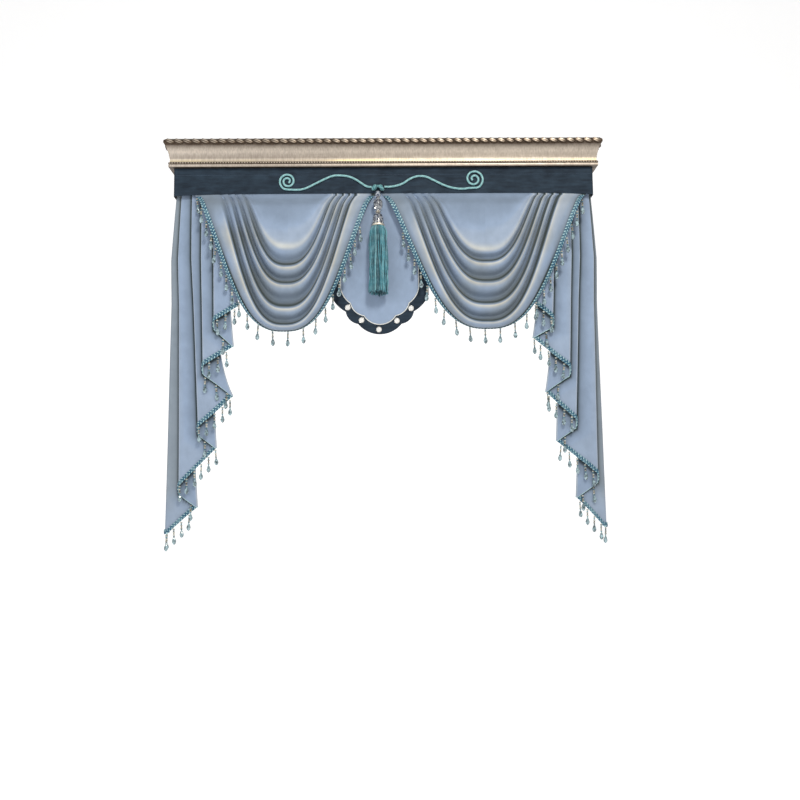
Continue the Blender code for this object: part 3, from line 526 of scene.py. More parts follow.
leaf = carved_leaf_piece()
bpy.ops.object.shade_smooth()
deselect()
bpy.ops.mesh.primitive_uv_sphere_add(segments=9, ring_count=6, radius=BEAD_RADIUS)
bead = bpy.context.object
tone_by_depth(bead, lambda place: -place.y, 0.0020, 0.0040)
bpy.ops.object.shade_smooth()
carvings = []
for piece, pitch, outer, proud, height, side_count, side_start in (
    (leaf, LEAF_PITCH, TOP_BEAD_PLACE[0], TOP_BEAD_PLACE[0] + LEAF_PROUD, TOP_BEAD_PLACE[1] - LEAF_DROP,
     SIDE_LEAVES, SIDE_LEAF_START),
    (bead, BEAD_PITCH, LOW_BEAD_PLACE[0] + BEAD_PROUD, LOW_BEAD_PLACE[0] + BEAD_PROUD, LOW_BEAD_PLACE[1],
     int(FRONT / BEAD_PITCH), SIDE_BEAD_START),
):
    for side in (-1, 1):
        some = copy_of(piece)
        turned_to_side(some, side)
        moved(some, (side * (HALF_WIDTH + proud), side_start, height))
        carvings.append(along(some, pitch, side_count, (0, -1, 0)))
    count = int(2 * (HALF_WIDTH + outer) / pitch)
    moved(piece, (-(count - 1) * pitch / 2, -(FRONT + proud), height))
    along(piece, pitch, count, (1, 0, 0))
carving = as_one("moulding_carving", [leaf, bead, *carvings])
carving.data.materials.append(carved_leaf)
settle(carving, "moulding")

# Dust board: a plain pine board behind the moulding, screwed to brackets on the wall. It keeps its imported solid.

pine, pine_tree, pine_shader = finish_of("pine", (0.55, 0.43, 0.29), 0.65)
pine_run = scaled_place(pine_tree, place_in(pine_tree), (0.7, 14.0, 14.0))
pine_grain = speckled(pine_tree, pine_run, 6.0, Detail=6.0, Distortion=0.6)
pine_colour = mix_colour(pine_tree, pine_grain, (0.66, 0.50, 0.31, 1), (0.40, 0.26, 0.14, 1))
pine_tree.links.new(pine_colour, pine_shader.inputs["Base Color"])
pine_bump = add_node(pine_tree, "Bump", {"Height": pine_grain, "Distance": 0.0004, "Strength": 0.5})
pine_tree.links.new(pine_bump.outputs[0], pine_shader.inputs["Normal"])
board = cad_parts["dust_board"]
board.data.materials.clear()
board.data.materials.append(pine)

# Heading band: a stiffened strip of navy velvet, wrapped round the board from wall to wall and stapled under the
# moulding. Its lower edge hangs a little lower at the corners, and a row of stitches holds the buckram in it.

CLOTH = 0.0015
BAND_BOTTOM = -0.215
BAND_DIP = 0.008
BAND_CORNER = 0.010
BAND_BACK = FRONT - BAND_THICK
TAIL_WALL = 0.004
BAND_ROWS = 24
BAND_PUFF = 0.0005
STITCH_HEIGHT, STITCH_LONG, STITCH_PITCH, STITCH_RADIUS = -0.1365, 0.0036, 0.0056, 0.0006


def mesh_piece(name, points, faces, **marks):
    """A new piece, picked, from points and faces, with marks at each point for its finish."""
    mesh = bpy.data.meshes.new(name)
    mesh.from_pydata(np.asarray(points, float).reshape(-1, 3).tolist(), [], faces)
    for mark, values in marks.items():
        mesh.attributes.new(mark, "FLOAT", "POINT").data.foreach_set("value", np.asarray(values, float).ravel())
    piece = bpy.data.objects.new(name, mesh)
    bpy.context.scene.collection.objects.link(piece)
    pick(piece)
    return piece


def sheet_of(name, rows, thickness, finish, **marks):
    """A sheet of cloth through rows of points, with its thickness, and marks at each point for its finish."""
    rows = np.asarray(rows, float)
    up, along_row = rows.shape[:2]
    number = np.arange(up * along_row).reshape(up, along_row)
    faces = np.stack([number[:-1, :-1], number[:-1, 1:], number[1:, 1:], number[1:, :-1]], axis=-1).reshape(-1, 4)
    piece = mesh_piece(name, rows, faces.tolist(), **marks)
    shell = piece.modifiers.new("cloth", "SOLIDIFY")
    shell.thickness = thickness
    shell.offset = 0.0
    bpy.ops.object.modifier_apply(modifier=shell.name)
    piece.data.materials.append(finish)
    return close_shell(piece, 60)


nap, given, put_out = group_of(
    "nap",
    [("Cloth", "Color", (0.3, 0.4, 0.5, 1)), ("Shade", "Color", (0.05, 0.06, 0.07, 1)),
     ("Light", "Color", (0.6, 0.6, 0.5, 1)), ("Tone", "Float", 0.6), ("Mottle", "Float", 0.5),
     ("Run", "Vector", (55.0, 55.0, 18.0)), ("Dusk", "Float", 0.0)],
    [("Colour", "Color"), ("Roughness", "Float"), ("Height", "Float")],
)
place = place_in(nap)
patch = speckled(nap, place, 13.0, Detail=4.0, Roughness=0.6)
streak = speckled(nap, scaled_place(nap, place, given.outputs["Run"]), 1.0, Detail=3.0)
pile = speckled(nap, place, 900.0, Detail=1.0)
spread = remap(nap, maths(nap, "ADD", patch, streak), 0.75, 1.25)
brushed = maths(nap, "MULTIPLY", spread, given.outputs["Mottle"])
# Tone paints the cloth's light and shade: below 0.6 painted shade, above it painted highlight
sunk = remap(nap, given.outputs["Tone"], 0.0, 0.6)
raised = remap(nap, given.outputs["Tone"], 0.6)
folded = mix_colour(nap, sunk, given.outputs["Shade"], given.outputs["Cloth"])
folded = mix_colour(nap, raised, folded, given.outputs["Light"])
mottled = mix_colour(nap, brushed, folded, given.outputs["Shade"])
# Dusk multiplies in a warm grey: a painted shade
dusky = mix_colour(nap, given.outputs["Dusk"], mottled, (0.90, 0.81, 0.66, 1), "MULTIPLY")
nap.links.new(dusky, put_out.inputs["Colour"])
nap.links.new(remap(nap, patch, to_low=0.62, to_high=0.85), put_out.inputs["Roughness"])
nap.links.new(pile, put_out.inputs["Height"])


def velvet(name, cloth, shade, light, mottle, sheen, run, tone_attribute):
    """Short-pile velvet: brushed patches, a fine nap and the pale sheen of pile that is seen from its side."""
    constants = {"Sheen Weight": sheen, "Sheen Roughness": 0.45, "Specular IOR Level": 0.25}
    made, tree, shader = finish_of(name, cloth[:3], 0.7, constants)
    shader.inputs["Sheen Tint"].default_value = (0.93, 0.93, 0.86, 1.0)
    inputs = {"Cloth": cloth, "Shade": shade, "Light": light, "Mottle": mottle, "Run": run}
    # the tone attribute paints the folds' shade and highlights into the colour
    if tone_attribute:
        inputs["Tone"] = add_node(tree, "Attribute", attribute_name="tone").outputs["Fac"]
        inputs["Dusk"] = add_node(tree, "Attribute", attribute_name="dusk").outputs["Fac"]
    use_group(tree, shader, nap, inputs, 0.0002)
    return made


NAVY, NAVY_SHADE, NAVY_LIGHT = (0.018, 0.035, 0.056, 1), (0.004, 0.009, 0.017, 1), (0.05, 0.08, 0.115, 1)
navy_velvet = velvet("navy_velvet", NAVY, NAVY_SHADE, NAVY_LIGHT, 0.75, 0.03, (22.0, 22.0, 110.0), False)

BAND_RETURN_POINTS, BAND_FRONT_POINTS, BAND_TURN_STEP = 12, 90, 10
STITCH_ROUND, STITCH_PROUD = 0.0004, 0.0001

band_side = HALF_WIDTH - BAND_THICK / 2
band_depth = FRONT - BAND_THICK / 2
band_route = [(-band_side, -y) for y in np.linspace(TAIL_WALL, band_depth - BAND_CORNER, BAND_RETURN_POINTS)[:-1]]
for turn in range(0, 91, BAND_TURN_STEP):
    bend = math.radians(turn)
    band_route.append((
        -band_side + BAND_CORNER * (1 - math.cos(bend)),
        -band_depth + BAND_CORNER * (1 - math.sin(bend)),
    ))
band_route += [(x, -band_depth) for x in np.linspace(-band_side + BAND_CORNER, 0, BAND_FRONT_POINTS)[1:]]
band_route += [(-x, y) for x, y in reversed(band_route[:-1])]
band_rows = []
for share in np.linspace(0, 1, BAND_ROWS):
    row = []
    for x, y in band_route:
        bottom = BAND_BOTTOM - BAND_DIP * (abs(x) / HALF_WIDTH) ** 6
        z = bottom + (BAND_TOP - bottom) * share
        puff = BAND_PUFF * noise.noise(Vector((x * 9, y * 9, z * 30))) * math.sin(math.pi * share)
        row.append((x, y - puff, z))
    band_rows.append(row)
band = sheet_of("heading_band_velvet", band_rows, BAND_THICK, navy_velvet)
settle(band, "navy_velvet", "heading_band")

deselect()
bpy.ops.mesh.primitive_cylinder_add(
    vertices=6, radius=STITCH_RADIUS, depth=STITCH_LONG, rotation=(0, math.pi / 2, 0))
stitch = bpy.context.object
bpy.ops.object.transform_apply(rotation=True)
edit_where(stitch, lambda place: abs(place.x) > STITCH_LONG / 2 - STITCH_PROUD, "FACE")
bpy.ops.mesh.bevel(offset=STITCH_ROUND, segments=2)
back_to_object()
stitch_count = int(2 * (HALF_WIDTH - BAND_CORNER) / STITCH_PITCH)
moved(stitch, (-(stitch_count - 1) * STITCH_PITCH / 2, -FRONT - STITCH_PROUD, STITCH_HEIGHT))
along(stitch, STITCH_PITCH, stitch_count, (1, 0, 0))
stitches = as_one("heading_band_stitches", [stitch])
stitches.data.materials.append(finish_of("navy_thread", (0.045, 0.075, 0.12), 0.7)[0])
settle(stitches, "navy_velvet")

# Swags: each is one piece of pale blue velvet cut on the bias, pleated at both ends into the seam under the band,
# so that its folds hang in curves. The lower hem goes back underneath.

SEAM_TOP = -0.198
SEAM_LINE = -0.224
SEAM_FLARE = 0.003
SWAG_DEPTH = BAND_BACK - GAP - CLOTH / 2
LEFT_SWAG = (
    # left, right, low, belly, fold
    (-0.543, -0.242, -0.224, 0.000, 0.000),
    (-0.556, -0.229, -0.350, 0.014, 0.000),
    (-0.568, -0.216, -0.448, 0.024, 0.008),
    (-0.578, -0.206, -0.494, 0.028, -0.012),
    (-0.589, -0.197, -0.537, 0.032, 0.017),
    (-0.605, -0.182, -0.576, 0.035, -0.017),
    (-0.620, -0.168, -0.612, 0.038, 0.019),
    (-0.634, -0.155, -0.655, 0.041, -0.017),
    (-0.648, -0.142, -0.709, 0.044, 0.019),
    (-0.665, -0.130, -0.744, 0.045, -0.015),
    (-0.685, -0.115, -0.778, 0.046, 0.012),
    (-0.735, -0.074, -0.795, 0.028, 0.002),
    (-0.777, -0.039, -0.790, 0.008, 0.000),
)
RIGHT_SWAG = (
    (0.228, 0.592, -0.224, 0.000, 0.000),
    (0.215, 0.606, -0.352, 0.014, 0.000),
    (0.202, 0.618, -0.464, 0.024, 0.009),
    (0.189, 0.629, -0.494, 0.028, -0.012),
    (0.178, 0.636, -0.526, 0.032, 0.017),
    (0.162, 0.652, -0.568, 0.035, -0.017),
    (0.146, 0.667, -0.609, 0.038, 0.019),
    (0.127, 0.684, -0.655, 0.041, -0.017),
    (0.108, 0.700, -0.700, 0.044, 0.019),
    (0.093, 0.716, -0.737, 0.045, -0.015),
    (0.075, 0.734, -0.770, 0.046, 0.012),
    (0.030, 0.788, -0.790, 0.028, 0.002),
    (-0.009, 0.836, -0.785, 0.008, 0.000),
)
SAG_FULL, SAG_STEEP = 2.7, 1.62
SIDE_FORWARD = 0.028
RISE_RUN, PLEAT_START, PLEAT_RUN = 0.055, -0.217, 0.020
PINCHED_FOLD, FOLD_DEPTH = 0.42, 0.019
CREST_SHARPNESS, TROUGH_SKEW = 1.35, 0.42
SWAG_ROWS_PER_SPAN, SWAG_COLUMNS = 12, 170
BRAID_WIDTH, BRAID_GAP, BRAID_START = 0.018, 0.0008, -0.229
CREASE = 0.0022
FLAT_TONE, SWAG_TOP_TONE, FOLD_TONE = 0.60, 0.43, 0.64
LIP_EARLY, LIP_LIGHT = 0.10, 0.34
FADE_DARK, GAP_DARK, CRISP_GAP_DARK, UNDERSIDE_DARK = 0.42, 0.26, 0.72, 0.62
LAST_FOLD, LAST_FOLD_LIGHT, UNDERSIDE = 10.9, 0.24, 11.1
# how large the dusk patches are, and how strong this painted warm-grey shade is on swags and tails
DUSK_PATCHES, DUSK_ON_SWAGS, DUSK_ON_TAILS = 9.0, 0.6, 0.8


def ease(share):
    share = np.clip(share, 0.0, 1.0)
    return share * share * (3 - 2 * share)


def through_rows(table, at):
    """Values at row numbers with fractions, on a smooth curve through all rows of a table."""
    table = np.asarray(table, float)
    last = len(table) - 1
    i = np.minimum(np.asarray(at).astype(int), last - 1)
    share = (np.asarray(at) - i)[..., None]
    a, b = table[i], table[i + 1]
    slope_a = (b - table[np.maximum(i - 1, 0)]) / 2
    slope_b = (table[np.minimum(i + 2, last)] - a) / 2
    cube = 2 * (a - b) + slope_a + slope_b
    square = 3 * (b - a) - 2 * slope_a - slope_b
    return a + share * (slope_a + share * (square + share * cube))


def swag_surface(table, at, u):
    """Points of the swag and the painted light and shade at each: at counts the table's rows, u runs from -1 to 1.
    """
    left, right, low, belly, _ = np.moveaxis(through_rows(table, at), -1, 0)
    skewed = np.maximum(at - TROUGH_SKEW * (1 - np.cos(math.pi * at)) / 2, 0.0)
    fold = through_rows(table, skewed)[..., 4]
    share = (1 - np.abs(u) ** SAG_FULL) ** SAG_STEEP
    x = left + (right - left) * (u + 1) / 2
    z = SEAM_LINE + (low - SEAM_LINE) * share
    rise = ease((SEAM_LINE - z) / RISE_RUN)
    pleat = ease((PLEAT_START - z) / PLEAT_RUN)
    crest = np.clip((fold / FOLD_DEPTH + 1) / 2, 0, 1)
    sharp = 2 * FOLD_DEPTH * (crest ** CREST_SHARPNESS - 0.5 ** CREST_SHARPNESS)
    relief = PINCHED_FOLD + (1 - PINCHED_FOLD) * share
    forward = rise * (SIDE_FORWARD + belly * share) + pleat * sharp * relief
    points = np.stack([x, -(SWAG_DEPTH + forward), z], axis=-1)
    return points, fold_tone(at, u, z, share)


def bump_at(distance, reach):
    """1 at no distance, and fading to 0 on both sides over about the reach."""
    return np.exp(-(distance / reach) ** 2)


def fold_tone(at, u, z, share):
    """How light the velvet is painted: each fold has a painted bright lip, fades below it into painted shade and is
    darkest just over the next lip; the flat top is painted darker and the turned-under hem dark.
    The pleats on the right are crisper."""
    since = (at - LIP_EARLY) % 2
    over = 2 - since
    side = 1 - share
    crisp = np.where(u > 0, side, 0.0)
    first_glow = np.where(at < 3, 0.50 + 0.50 * bump_at(u, 0.35), 1.0)
    lip = bump_at(since, np.where(at < 3, 0.17, 0.26)) + bump_at(over, np.where(at < 2.1, 0.20, 0.11))
    lip *= first_glow * (0.82 + 0.18 * np.sin(5 * u + 1.7 * at))
    fade = ease(since / 1.75) * ease((at - 2 - LIP_EARLY) / 0.4) * (1 - 0.60 * crisp)
    gap = bump_at(over - 0.24 - 0.06 * crisp, 0.15 + 0.11 * crisp) * ease((at - 2) / 0.6)
    tone = FOLD_TONE - FADE_DARK * fade - (GAP_DARK + CRISP_GAP_DARK * crisp) * gap
    tone += LIP_LIGHT * lip * ease((at - 1) / 0.5) * (1 - 0.35 * side)
    tone += LAST_FOLD_LIGHT * bump_at(at - LAST_FOLD, 0.55) * side * np.where(u < 0, 1.0, 0.4)
    tone -= UNDERSIDE_DARK * ease((at - UNDERSIDE) / 0.3) * ease((share - 0.25) / 0.5)
    start = np.where(u > 0, ease((-0.212 - z) / 0.010), ease((SEAM_LINE - z) / 0.20))
    return np.clip(SWAG_TOP_TONE + (tone - SWAG_TOP_TONE) * start * ease((at - 0.4) / 1.0), 0.02, 1.0)


def with_creases(points, wrinkle):
    """Small soft wrinkles that run down from the pleats, the same on each run."""
    moved_points = points.copy()
    for row in range(points.shape[0]):
        for column in range(points.shape[1]):
            x, y, z = points[row, column]
            pull = noise.noise(Vector((x * 16, row * 0.11, z * 7)))
            pull += 0.4 * noise.noise(Vector((x * 40, 3.7, z * 18)))
            moved_points[row, column, 1] -= CREASE * pull * wrinkle[row, column]
    return moved_points


def run_along(points):
    """How far along a line each of its points is."""
    return np.concatenate([[0], np.cumsum(np.linalg.norm(np.diff(points, axis=0), axis=1))])


def even_columns(table, count):
    """Where u has to be for columns that stand evenly along the hem."""
    tries = np.linspace(-1, 1, 1500)
    run = run_along(swag_surface(table, np.full(tries.shape, len(table) - 1.0), tries)[0])
    return np.interp(np.linspace(0, run[-1], count), run, tries)


def above_hem(points):
    """The line a braid's width above the hem, measured over the cloth."""
    inner = np.empty_like(points[0])
    for column in range(points.shape[1]):
        run = run_along(points[:, column])
        for axis in range(3):
            inner[column, axis] = np.interp(BRAID_WIDTH, run, points[:, column, axis])
    return inner


def with_seam(rows):
    """The rows, hem first, with the flat seam allowance that goes up behind the band round their top and sides."""

    def seam(point, way=0.0, rise=0.0):
        return (point[0] + way, -SWAG_DEPTH, SEAM_TOP + rise)

    left, right = rows[-1][0], rows[-1][-1]
    grown = [[seam(row[0]), *row, seam(row[-1])] for row in rows]
    grown[-1][0] = seam(left, -SEAM_FLARE)
    grown[-1][-1] = seam(right, SEAM_FLARE)
    top = [seam(point) for point in rows[-1]]
    top[0] = seam(left, SEAM_FLARE)
    top[-1] = seam(right, -SEAM_FLARE)
    return grown + [[seam(left, 0.0, SEAM_FLARE), *top, seam(right, 0.0, SEAM_FLARE)]]


BLUE, BLUE_SHADE, BLUE_LIGHT = (0.280, 0.362, 0.500, 1), (0.026, 0.040, 0.040, 1), (0.66, 0.66, 0.60, 1)
blue_velvet = velvet("pale_blue_velvet", BLUE, BLUE_SHADE, BLUE_LIGHT, 0.13, 0.25, (30.0, 30.0, 22.0), True)


def drape_swag(side, table):
    """The swag's cloth. Returns its hem and the line a braid's width above it, as points from left to right."""
    last = len(table) - 1
    u = even_columns(table, SWAG_COLUMNS)[None, :]
    at = np.linspace(last, 0, last * SWAG_ROWS_PER_SPAN + 1)[:, None]
    u, at = np.broadcast_arrays(u, at)
    points, tone = swag_surface(table, at, u)
    depth = ease((SEAM_LINE - points[..., 2]) / 0.12)
    points = with_creases(points, depth * np.minimum((last - at) / 1.0, 1.0))
    rows = with_seam([[tuple(point) for point in row] for row in points])
    tones = np.pad(tone, ((0, 1), (1, 1)), mode="edge")
    # dusk: a painted warm-grey shade, in noise patches over the folded part of the swag
    dusk = [[0.5 + 1.1 * noise.noise(Vector(point) * DUSK_PATCHES) for point in row] for row in rows]
    folded = np.pad(ease((at - 2.0) / 0.6), ((0, 1), (1, 1)), mode="edge")
    dusk = np.clip(dusk, 0, 1) * folded * DUSK_ON_SWAGS
    piece = sheet_of(f"swag_{side}_velvet", rows, CLOTH, blue_velvet, tone=tones, dusk=dusk)
    settle(piece, "blue_velvet", f"swag_{side}")
    return piece, points[0], above_hem(points)


swags = [drape_swag("left", LEFT_SWAG), drape_swag("right", RIGHT_SWAG)]

# Tails: one long tapered piece of the same velvet at each end, pleated flat under the band so that its slanting
# hem falls in a zigzag. The outer layer turns the corner of the box and goes back to the wall.

LEFT_TAIL = (
    # top_x, hem_x, hem_z, late
    (-0.640, -0.596, -0.684, 1),
    (-0.703, -0.694, -0.741, 1),
    (-0.650, -0.616, -0.848, 2),
    (-0.752, -0.736, -0.920, 1),
    (-0.690, -0.620, -1.049, 6),
    (-0.794, -0.754, -1.166, 1),
    (-0.750, -0.688, -1.258, 1),
    (-0.837, -0.824, -1.404, 1),
    (-0.800, -0.758, -1.496, 2),
    (-0.861, -0.880, -1.601, 1),
)
RIGHT_TAIL = (
    (0.640, 0.602, -0.676, 1),
    (0.707, 0.683, -0.738, 1),
    (0.655, 0.600, -0.821, 2),
    (0.771, 0.744, -0.937, 1),
    (0.700, 0.650, -1.042, 3),
    (0.805, 0.765, -1.150, 1),
    (0.750, 0.691, -1.242, 1),
    (0.850, 0.842, -1.373, 1),
    (0.800, 0.761, -1.472, 2),
    (0.861, 0.876, -1.592, 1),
)
TAIL_DEPTH, TAIL_HEM_DEPTH = SWAG_DEPTH - CLOTH - 2 * GAP, 0.165
TAIL_STEP_TOP, TAIL_STEP_HEM = 0.0025, 0.010
TAIL_BULGE, TAIL_CORNER, TAIL_TURN_FALL = 0.003, 0.012, 0.022
TAIL_OPENS, TAIL_OPENING = 0.46, 1.5
TAIL_SWING, TAIL_SWING_RUN = 0.022, 0.28
TAIL_SWING_FROM, TAIL_SWING_WIDTH = 0.66, 0.21
TAIL_SWAY, TAIL_SWAY_RUN = 0.004, 0.35
TAIL_ROWS, LAYER_COLUMNS, SIDE_COLUMNS = 90, 33, 10
# painted shade on the fold turns: face layers darken as they turn back
TURN_TONE, TURN_DARK = 0.72, 0.45
# shadows on the layers: how dark each is, and how far it reaches from the edge that throws it
RETURN_TONE, RETURN_SHADOWS = 0.94, ((0.62, 0.012), (0.26, 0.045))
FACE_TONE, FACE_SHADOWS, OUTER_SHADOWS = 1.04, ((0.80, 0.0075), (0.42, 0.030)), ((0.80, 0.0075), (0.20, 0.030))


def tail_columns(table):
    """One row for each point of the hem, from the free inner edge out to the wall:
    top x, top depth, hem x, hem depth, hem z, late, its layer or -1 on a turn, tone on a turn."""
    columns = []
    out = 1 if table[0][0] > 0 else -1
    layers = len(table) - 1
    for i in range(layers):
        way = out if i % 2 == 0 else -out
        deep_top = TAIL_DEPTH - i * TAIL_STEP_TOP
        deep_hem = TAIL_HEM_DEPTH - i * TAIL_STEP_HEM
        outermost = i == layers - 1
        bend_top = TAIL_CORNER if outermost else TAIL_STEP_TOP / 2
        bend_hem = TAIL_CORNER if outermost else TAIL_STEP_HEM / 2
        first, second = table[i], table[i + 1]
        start_top = first[0] + (way * TAIL_STEP_TOP / 2 if i else 0)
        start_hem = first[1] + (way * TAIL_STEP_HEM / 2 if i else 0)
        start_z = first[2] - (2 * TAIL_TURN_FALL if i % 2 else 0)
        turn_fall = 0 if i % 2 else TAIL_TURN_FALL
        end_top = second[0] - way * bend_top
        end_hem = second[1] - way * bend_hem
        face = 1.0 if i % 2 == 0 else 0.0
        for share in np.linspace(0, 1, LAYER_COLUMNS):
            bulge = TAIL_BULGE * math.sin(math.pi * share) * face
            columns.append((
                start_top + (end_top - start_top) * share, deep_top,
                start_hem + (end_hem - start_hem) * share, deep_hem + bulge,
                start_z + (second[2] - start_z) * share,
                first[3] + (second[3] - first[3]) * share,
                i, FLAT_TONE,
            ))
        if not outermost:
            for turn in range(20, 180, 20):
                bend = math.radians(turn)
                reach, back = math.sin(bend), 1 - math.cos(bend)
                columns.append((
                    end_top + way * bend_top * reach, deep_top - bend_top * back,
                    end_hem + way * bend_hem * reach, deep_hem - bend_hem * back,
                    second[2] - turn_fall * back, second[3], -1, TURN_TONE - TURN_DARK * face * back / 2,
                ))
            continue
        for turn in range(10, 91, 10):
            bend = math.radians(turn)
            reach, back = math.sin(bend) * TAIL_CORNER, (1 - math.cos(bend)) * TAIL_CORNER
            columns.append((end_top + way * reach, deep_top - back, end_hem + way * reach, deep_hem - back,
                            second[2], 1, i, FLAT_TONE))
        side_top, side_hem = end_top + way * TAIL_CORNER, end_hem + way * TAIL_CORNER
        for share in np.linspace(0, 1, SIDE_COLUMNS)[1:]:
            deep_a = (deep_top - TAIL_CORNER) * (1 - share) + TAIL_WALL * share
            deep_b = (deep_hem - TAIL_CORNER) * (1 - share) + TAIL_WALL * share
            columns.append((side_top, deep_a, side_hem, deep_b, second[2], 1, i, FLAT_TONE))
    return np.array(columns)


def below_line(x, z, a, b):
    """How far a point lies under the straight line from a to b, which are (x, z)."""
    return a[1] + (x - a[0]) * (b[1] - a[1]) / (b[0] - a[0]) - z


def shaded(tone, away, shadows):
    return FLAT_TONE * (tone - sum(dark * bump_at(away, reach) for dark, reach in shadows))


def tail_tone(table, layer, x, z):
    """The velvet's tone on a layer: dark in the shadow of the fold's edge or the hem that lies over it."""
    out = 1 if table[0][0] > 0 else -1
    if layer == 0:
        return np.full(np.shape(x), FLAT_TONE)
    first = table[layer - 1]
    if layer % 2:
        hidden_by = (first[1], first[2]), (table[layer][1], table[layer][2])
        away = np.maximum(below_line(x, z, *hidden_by) - 0.004, 0.0)
        return shaded(RETURN_TONE, away, RETURN_SHADOWS)
    hem_z = first[2] - 2 * TAIL_TURN_FALL
    down = np.clip((SEAM_TOP - z) / (SEAM_TOP - hem_z), 0, 1)
    beside = out * (x - first[0] - (first[1] - first[0]) * down)
    under = below_line(x, z, (first[1], hem_z), (table[layer][1], table[layer][2]))
    away = np.maximum(np.maximum(beside, under) - 0.001, 0.0)
    return shaded(FACE_TONE, away, OUTER_SHADOWS if layer == len(table) - 2 else FACE_SHADOWS)


def drape_tail(side, table):
    """The tail's cloth. Returns its hem, the line a braid's width above it and the layer of each hem point."""
    columns = tail_columns(table)
    if table[0][0] < 0:
        columns = columns[::-1]
    top_x, top_deep, hem_x, hem_deep, hem_z, late, layers, tone = columns.T
    fall = np.linspace(1, 0, TAIL_ROWS)[:, None]
    x = top_x + (hem_x - top_x) * fall ** late
    z = SEAM_TOP + (hem_z - SEAM_TOP) * fall
    opened = np.minimum((SEAM_TOP - z) / TAIL_OPENS, 1.0) ** TAIL_OPENING
    depth = top_deep + (hem_deep - top_deep) * opened
    fallen = np.minimum((SEAM_TOP - z) / TAIL_SWING_RUN, 1.0)
    swung = x + np.sign(x) * TAIL_SWING * fallen * ease((np.abs(x) - TAIL_SWING_FROM) / TAIL_SWING_WIDTH)
    points = np.stack([swung, -depth, z], axis=-1)
    sway = TAIL_SWAY * ease((SEAM_LINE - z) / TAIL_SWAY_RUN)
    for row in range(points.shape[0]):
        for column in range(points.shape[1]):
            px, _, pz = points[row, column]
            points[row, column, 1] -= sway[row, column] * noise.noise(Vector((px * 20, 1.3, pz * 2.2)))
    tones = np.broadcast_to(tone, x.shape).copy()
    for layer in range(len(table) - 1):
        mine = layers == layer
        tones[:, mine] = tail_tone(table, layer, x[:, mine], z[:, mine])
    # dusk: a painted warm-grey shade on the outer layer, which turns away from the light
    dusk = np.where(layers == len(table) - 2, DUSK_ON_TAILS, 0.0) * (1 - 0.8 * ease((fall - 0.86) / 0.1))
    piece = sheet_of(f"tail_{side}_velvet", points, CLOTH, blue_velvet, tone=tones, dusk=dusk)
    settle(piece, "blue_velvet", f"tail_{side}")
    return piece, points[0], above_hem(points), layers


tails = [drape_tail("left", LEFT_TAIL), drape_tail("right", RIGHT_TAIL)]

# Fringe: a flat braid of twisted teal and aqua threads, sewn along each hem, with drops knotted into it.

BRAID_THICK, BRAID_OVERHANG = 0.0044, 0.0015
BRAID_STEP, BRAID_ROUND = 0.0015, 24
BRAID_STRAND_PITCH, BRAID_LEAN = 0.0066, 0.75
BRAID_TONES = (0.42, 1.0)
DROP_PROUD = CLOTH + BRAID_THICK / 2
TAIL_EDGE_CORD, SWAG_SHADE_CORD, EDGE_CORD_SIDES = 0.0014, 0.0024, 6
SWAG_DROP_PITCH, SWAG_DROP_START = 0.060, 0.010
TAIL_DROP_PITCH, RETURN_DROP_PITCH, SIDE_DROP_PITCH = 0.041, 0.055, 0.060
CORNER_DROP_DEPTH = 0.075
INNER_DROP_FIRST = -0.340
DROP_ASIDE = 0.006


def unit(vectors):
    return vectors / np.linalg.norm(vectors, axis=1)[:, None]


def rings_round(line, side, front, wide, high):
    """Rings of points round a line: each point lies so far to the side and so far to the front of it."""
    return line[:, None, :] + side[:, None, :] * wide[..., None] + front[:, None, :] * high[..., None]


def tube_of(name, rings, finish, tone):
    """A closed tube through rings of points."""
    count, round_count = rings.shape[:2]
    number = np.arange(count * round_count).reshape(count, round_count)
    after = np.roll(number, -1, axis=1)
    faces = np.stack([number[:-1], after[:-1], after[1:], number[1:]], axis=-1).reshape(-1, 4).tolist()
    faces += [number[0][::-1].tolist(), number[-1].tolist()]
    piece = mesh_piece(name, rings, faces, tone=tone)
    piece.data.materials.append(finish)
    return close_shell(piece, 70)


thread, given, put_out = group_of(
    "thread",
    [("Dark", "Color", (0.02, 0.1, 0.15, 1)), ("Main", "Color", (0.1, 0.4, 0.5, 1)),
     ("Light", "Color", (0.6, 0.8, 0.8, 1)), ("Tone", "Float", 0.5)],
    [("Colour", "Color"), ("Roughness", "Float"), ("Height", "Float")],
)
place = place_in(thread)
fluff = speckled(thread, place, 520.0, Detail=2.0)
uneven = speckled(thread, place, 60.0, Detail=2.0)
lower = mix_colour(thread, remap(thread, given.outputs["Tone"], 0.0, 0.5), given.outputs["Dark"],
                   given.outputs["Main"])
upper = mix_colour(thread, remap(thread, given.outputs["Tone"], 0.5), lower, given.outputs["Light"])
varied = mix_colour(thread, remap(thread, fluff, 0.35, 0.75, 0.0, 0.40), upper, given.outputs["Dark"])
varied = mix_colour(thread, remap(thread, uneven, 0.45, 0.8, 0.0, 0.25), varied, given.outputs["Light"])
thread.links.new(varied, put_out.inputs["Colour"])
thread.links.new(remap(thread, fluff, to_low=0.45, to_high=0.7), put_out.inputs["Roughness"])
thread.links.new(fluff, put_out.inputs["Height"])


def threaded(name, dark, main, light):
    """Twisted yarn: its tone attribute picks the dark painted shade between strands, the main thread or the light
    one.
    """
    made, tree, shader = finish_of(name, main, 0.6, {"Sheen Weight": 0.2, "Sheen Roughness": 0.5})
    tone = add_node(tree, "Attribute", attribute_name="tone").outputs["Fac"]
    inputs = {"Dark": (*dark, 1), "Main": (*main, 1), "Light": (*light, 1), "Tone": tone}
    use_group(tree, shader, thread, inputs, 0.0003)
    return made


braid_thread = threaded("teal_braid", (0.002, 0.018, 0.036), (0.008, 0.130, 0.240), (0.56, 0.80, 0.80))


def evenly(points, step):
    """Points at an even step along a line, and how far along each is. Each input's columns go with it."""
    run = run_along(points[0])
    places = np.linspace(0, run[-1], max(int(run[-1] / step), 2) + 1)
    return places, [
        np.stack([np.interp(places, run, line[:, axis]) for axis in range(line.shape[1])], axis=1)
        for line in points
    ]


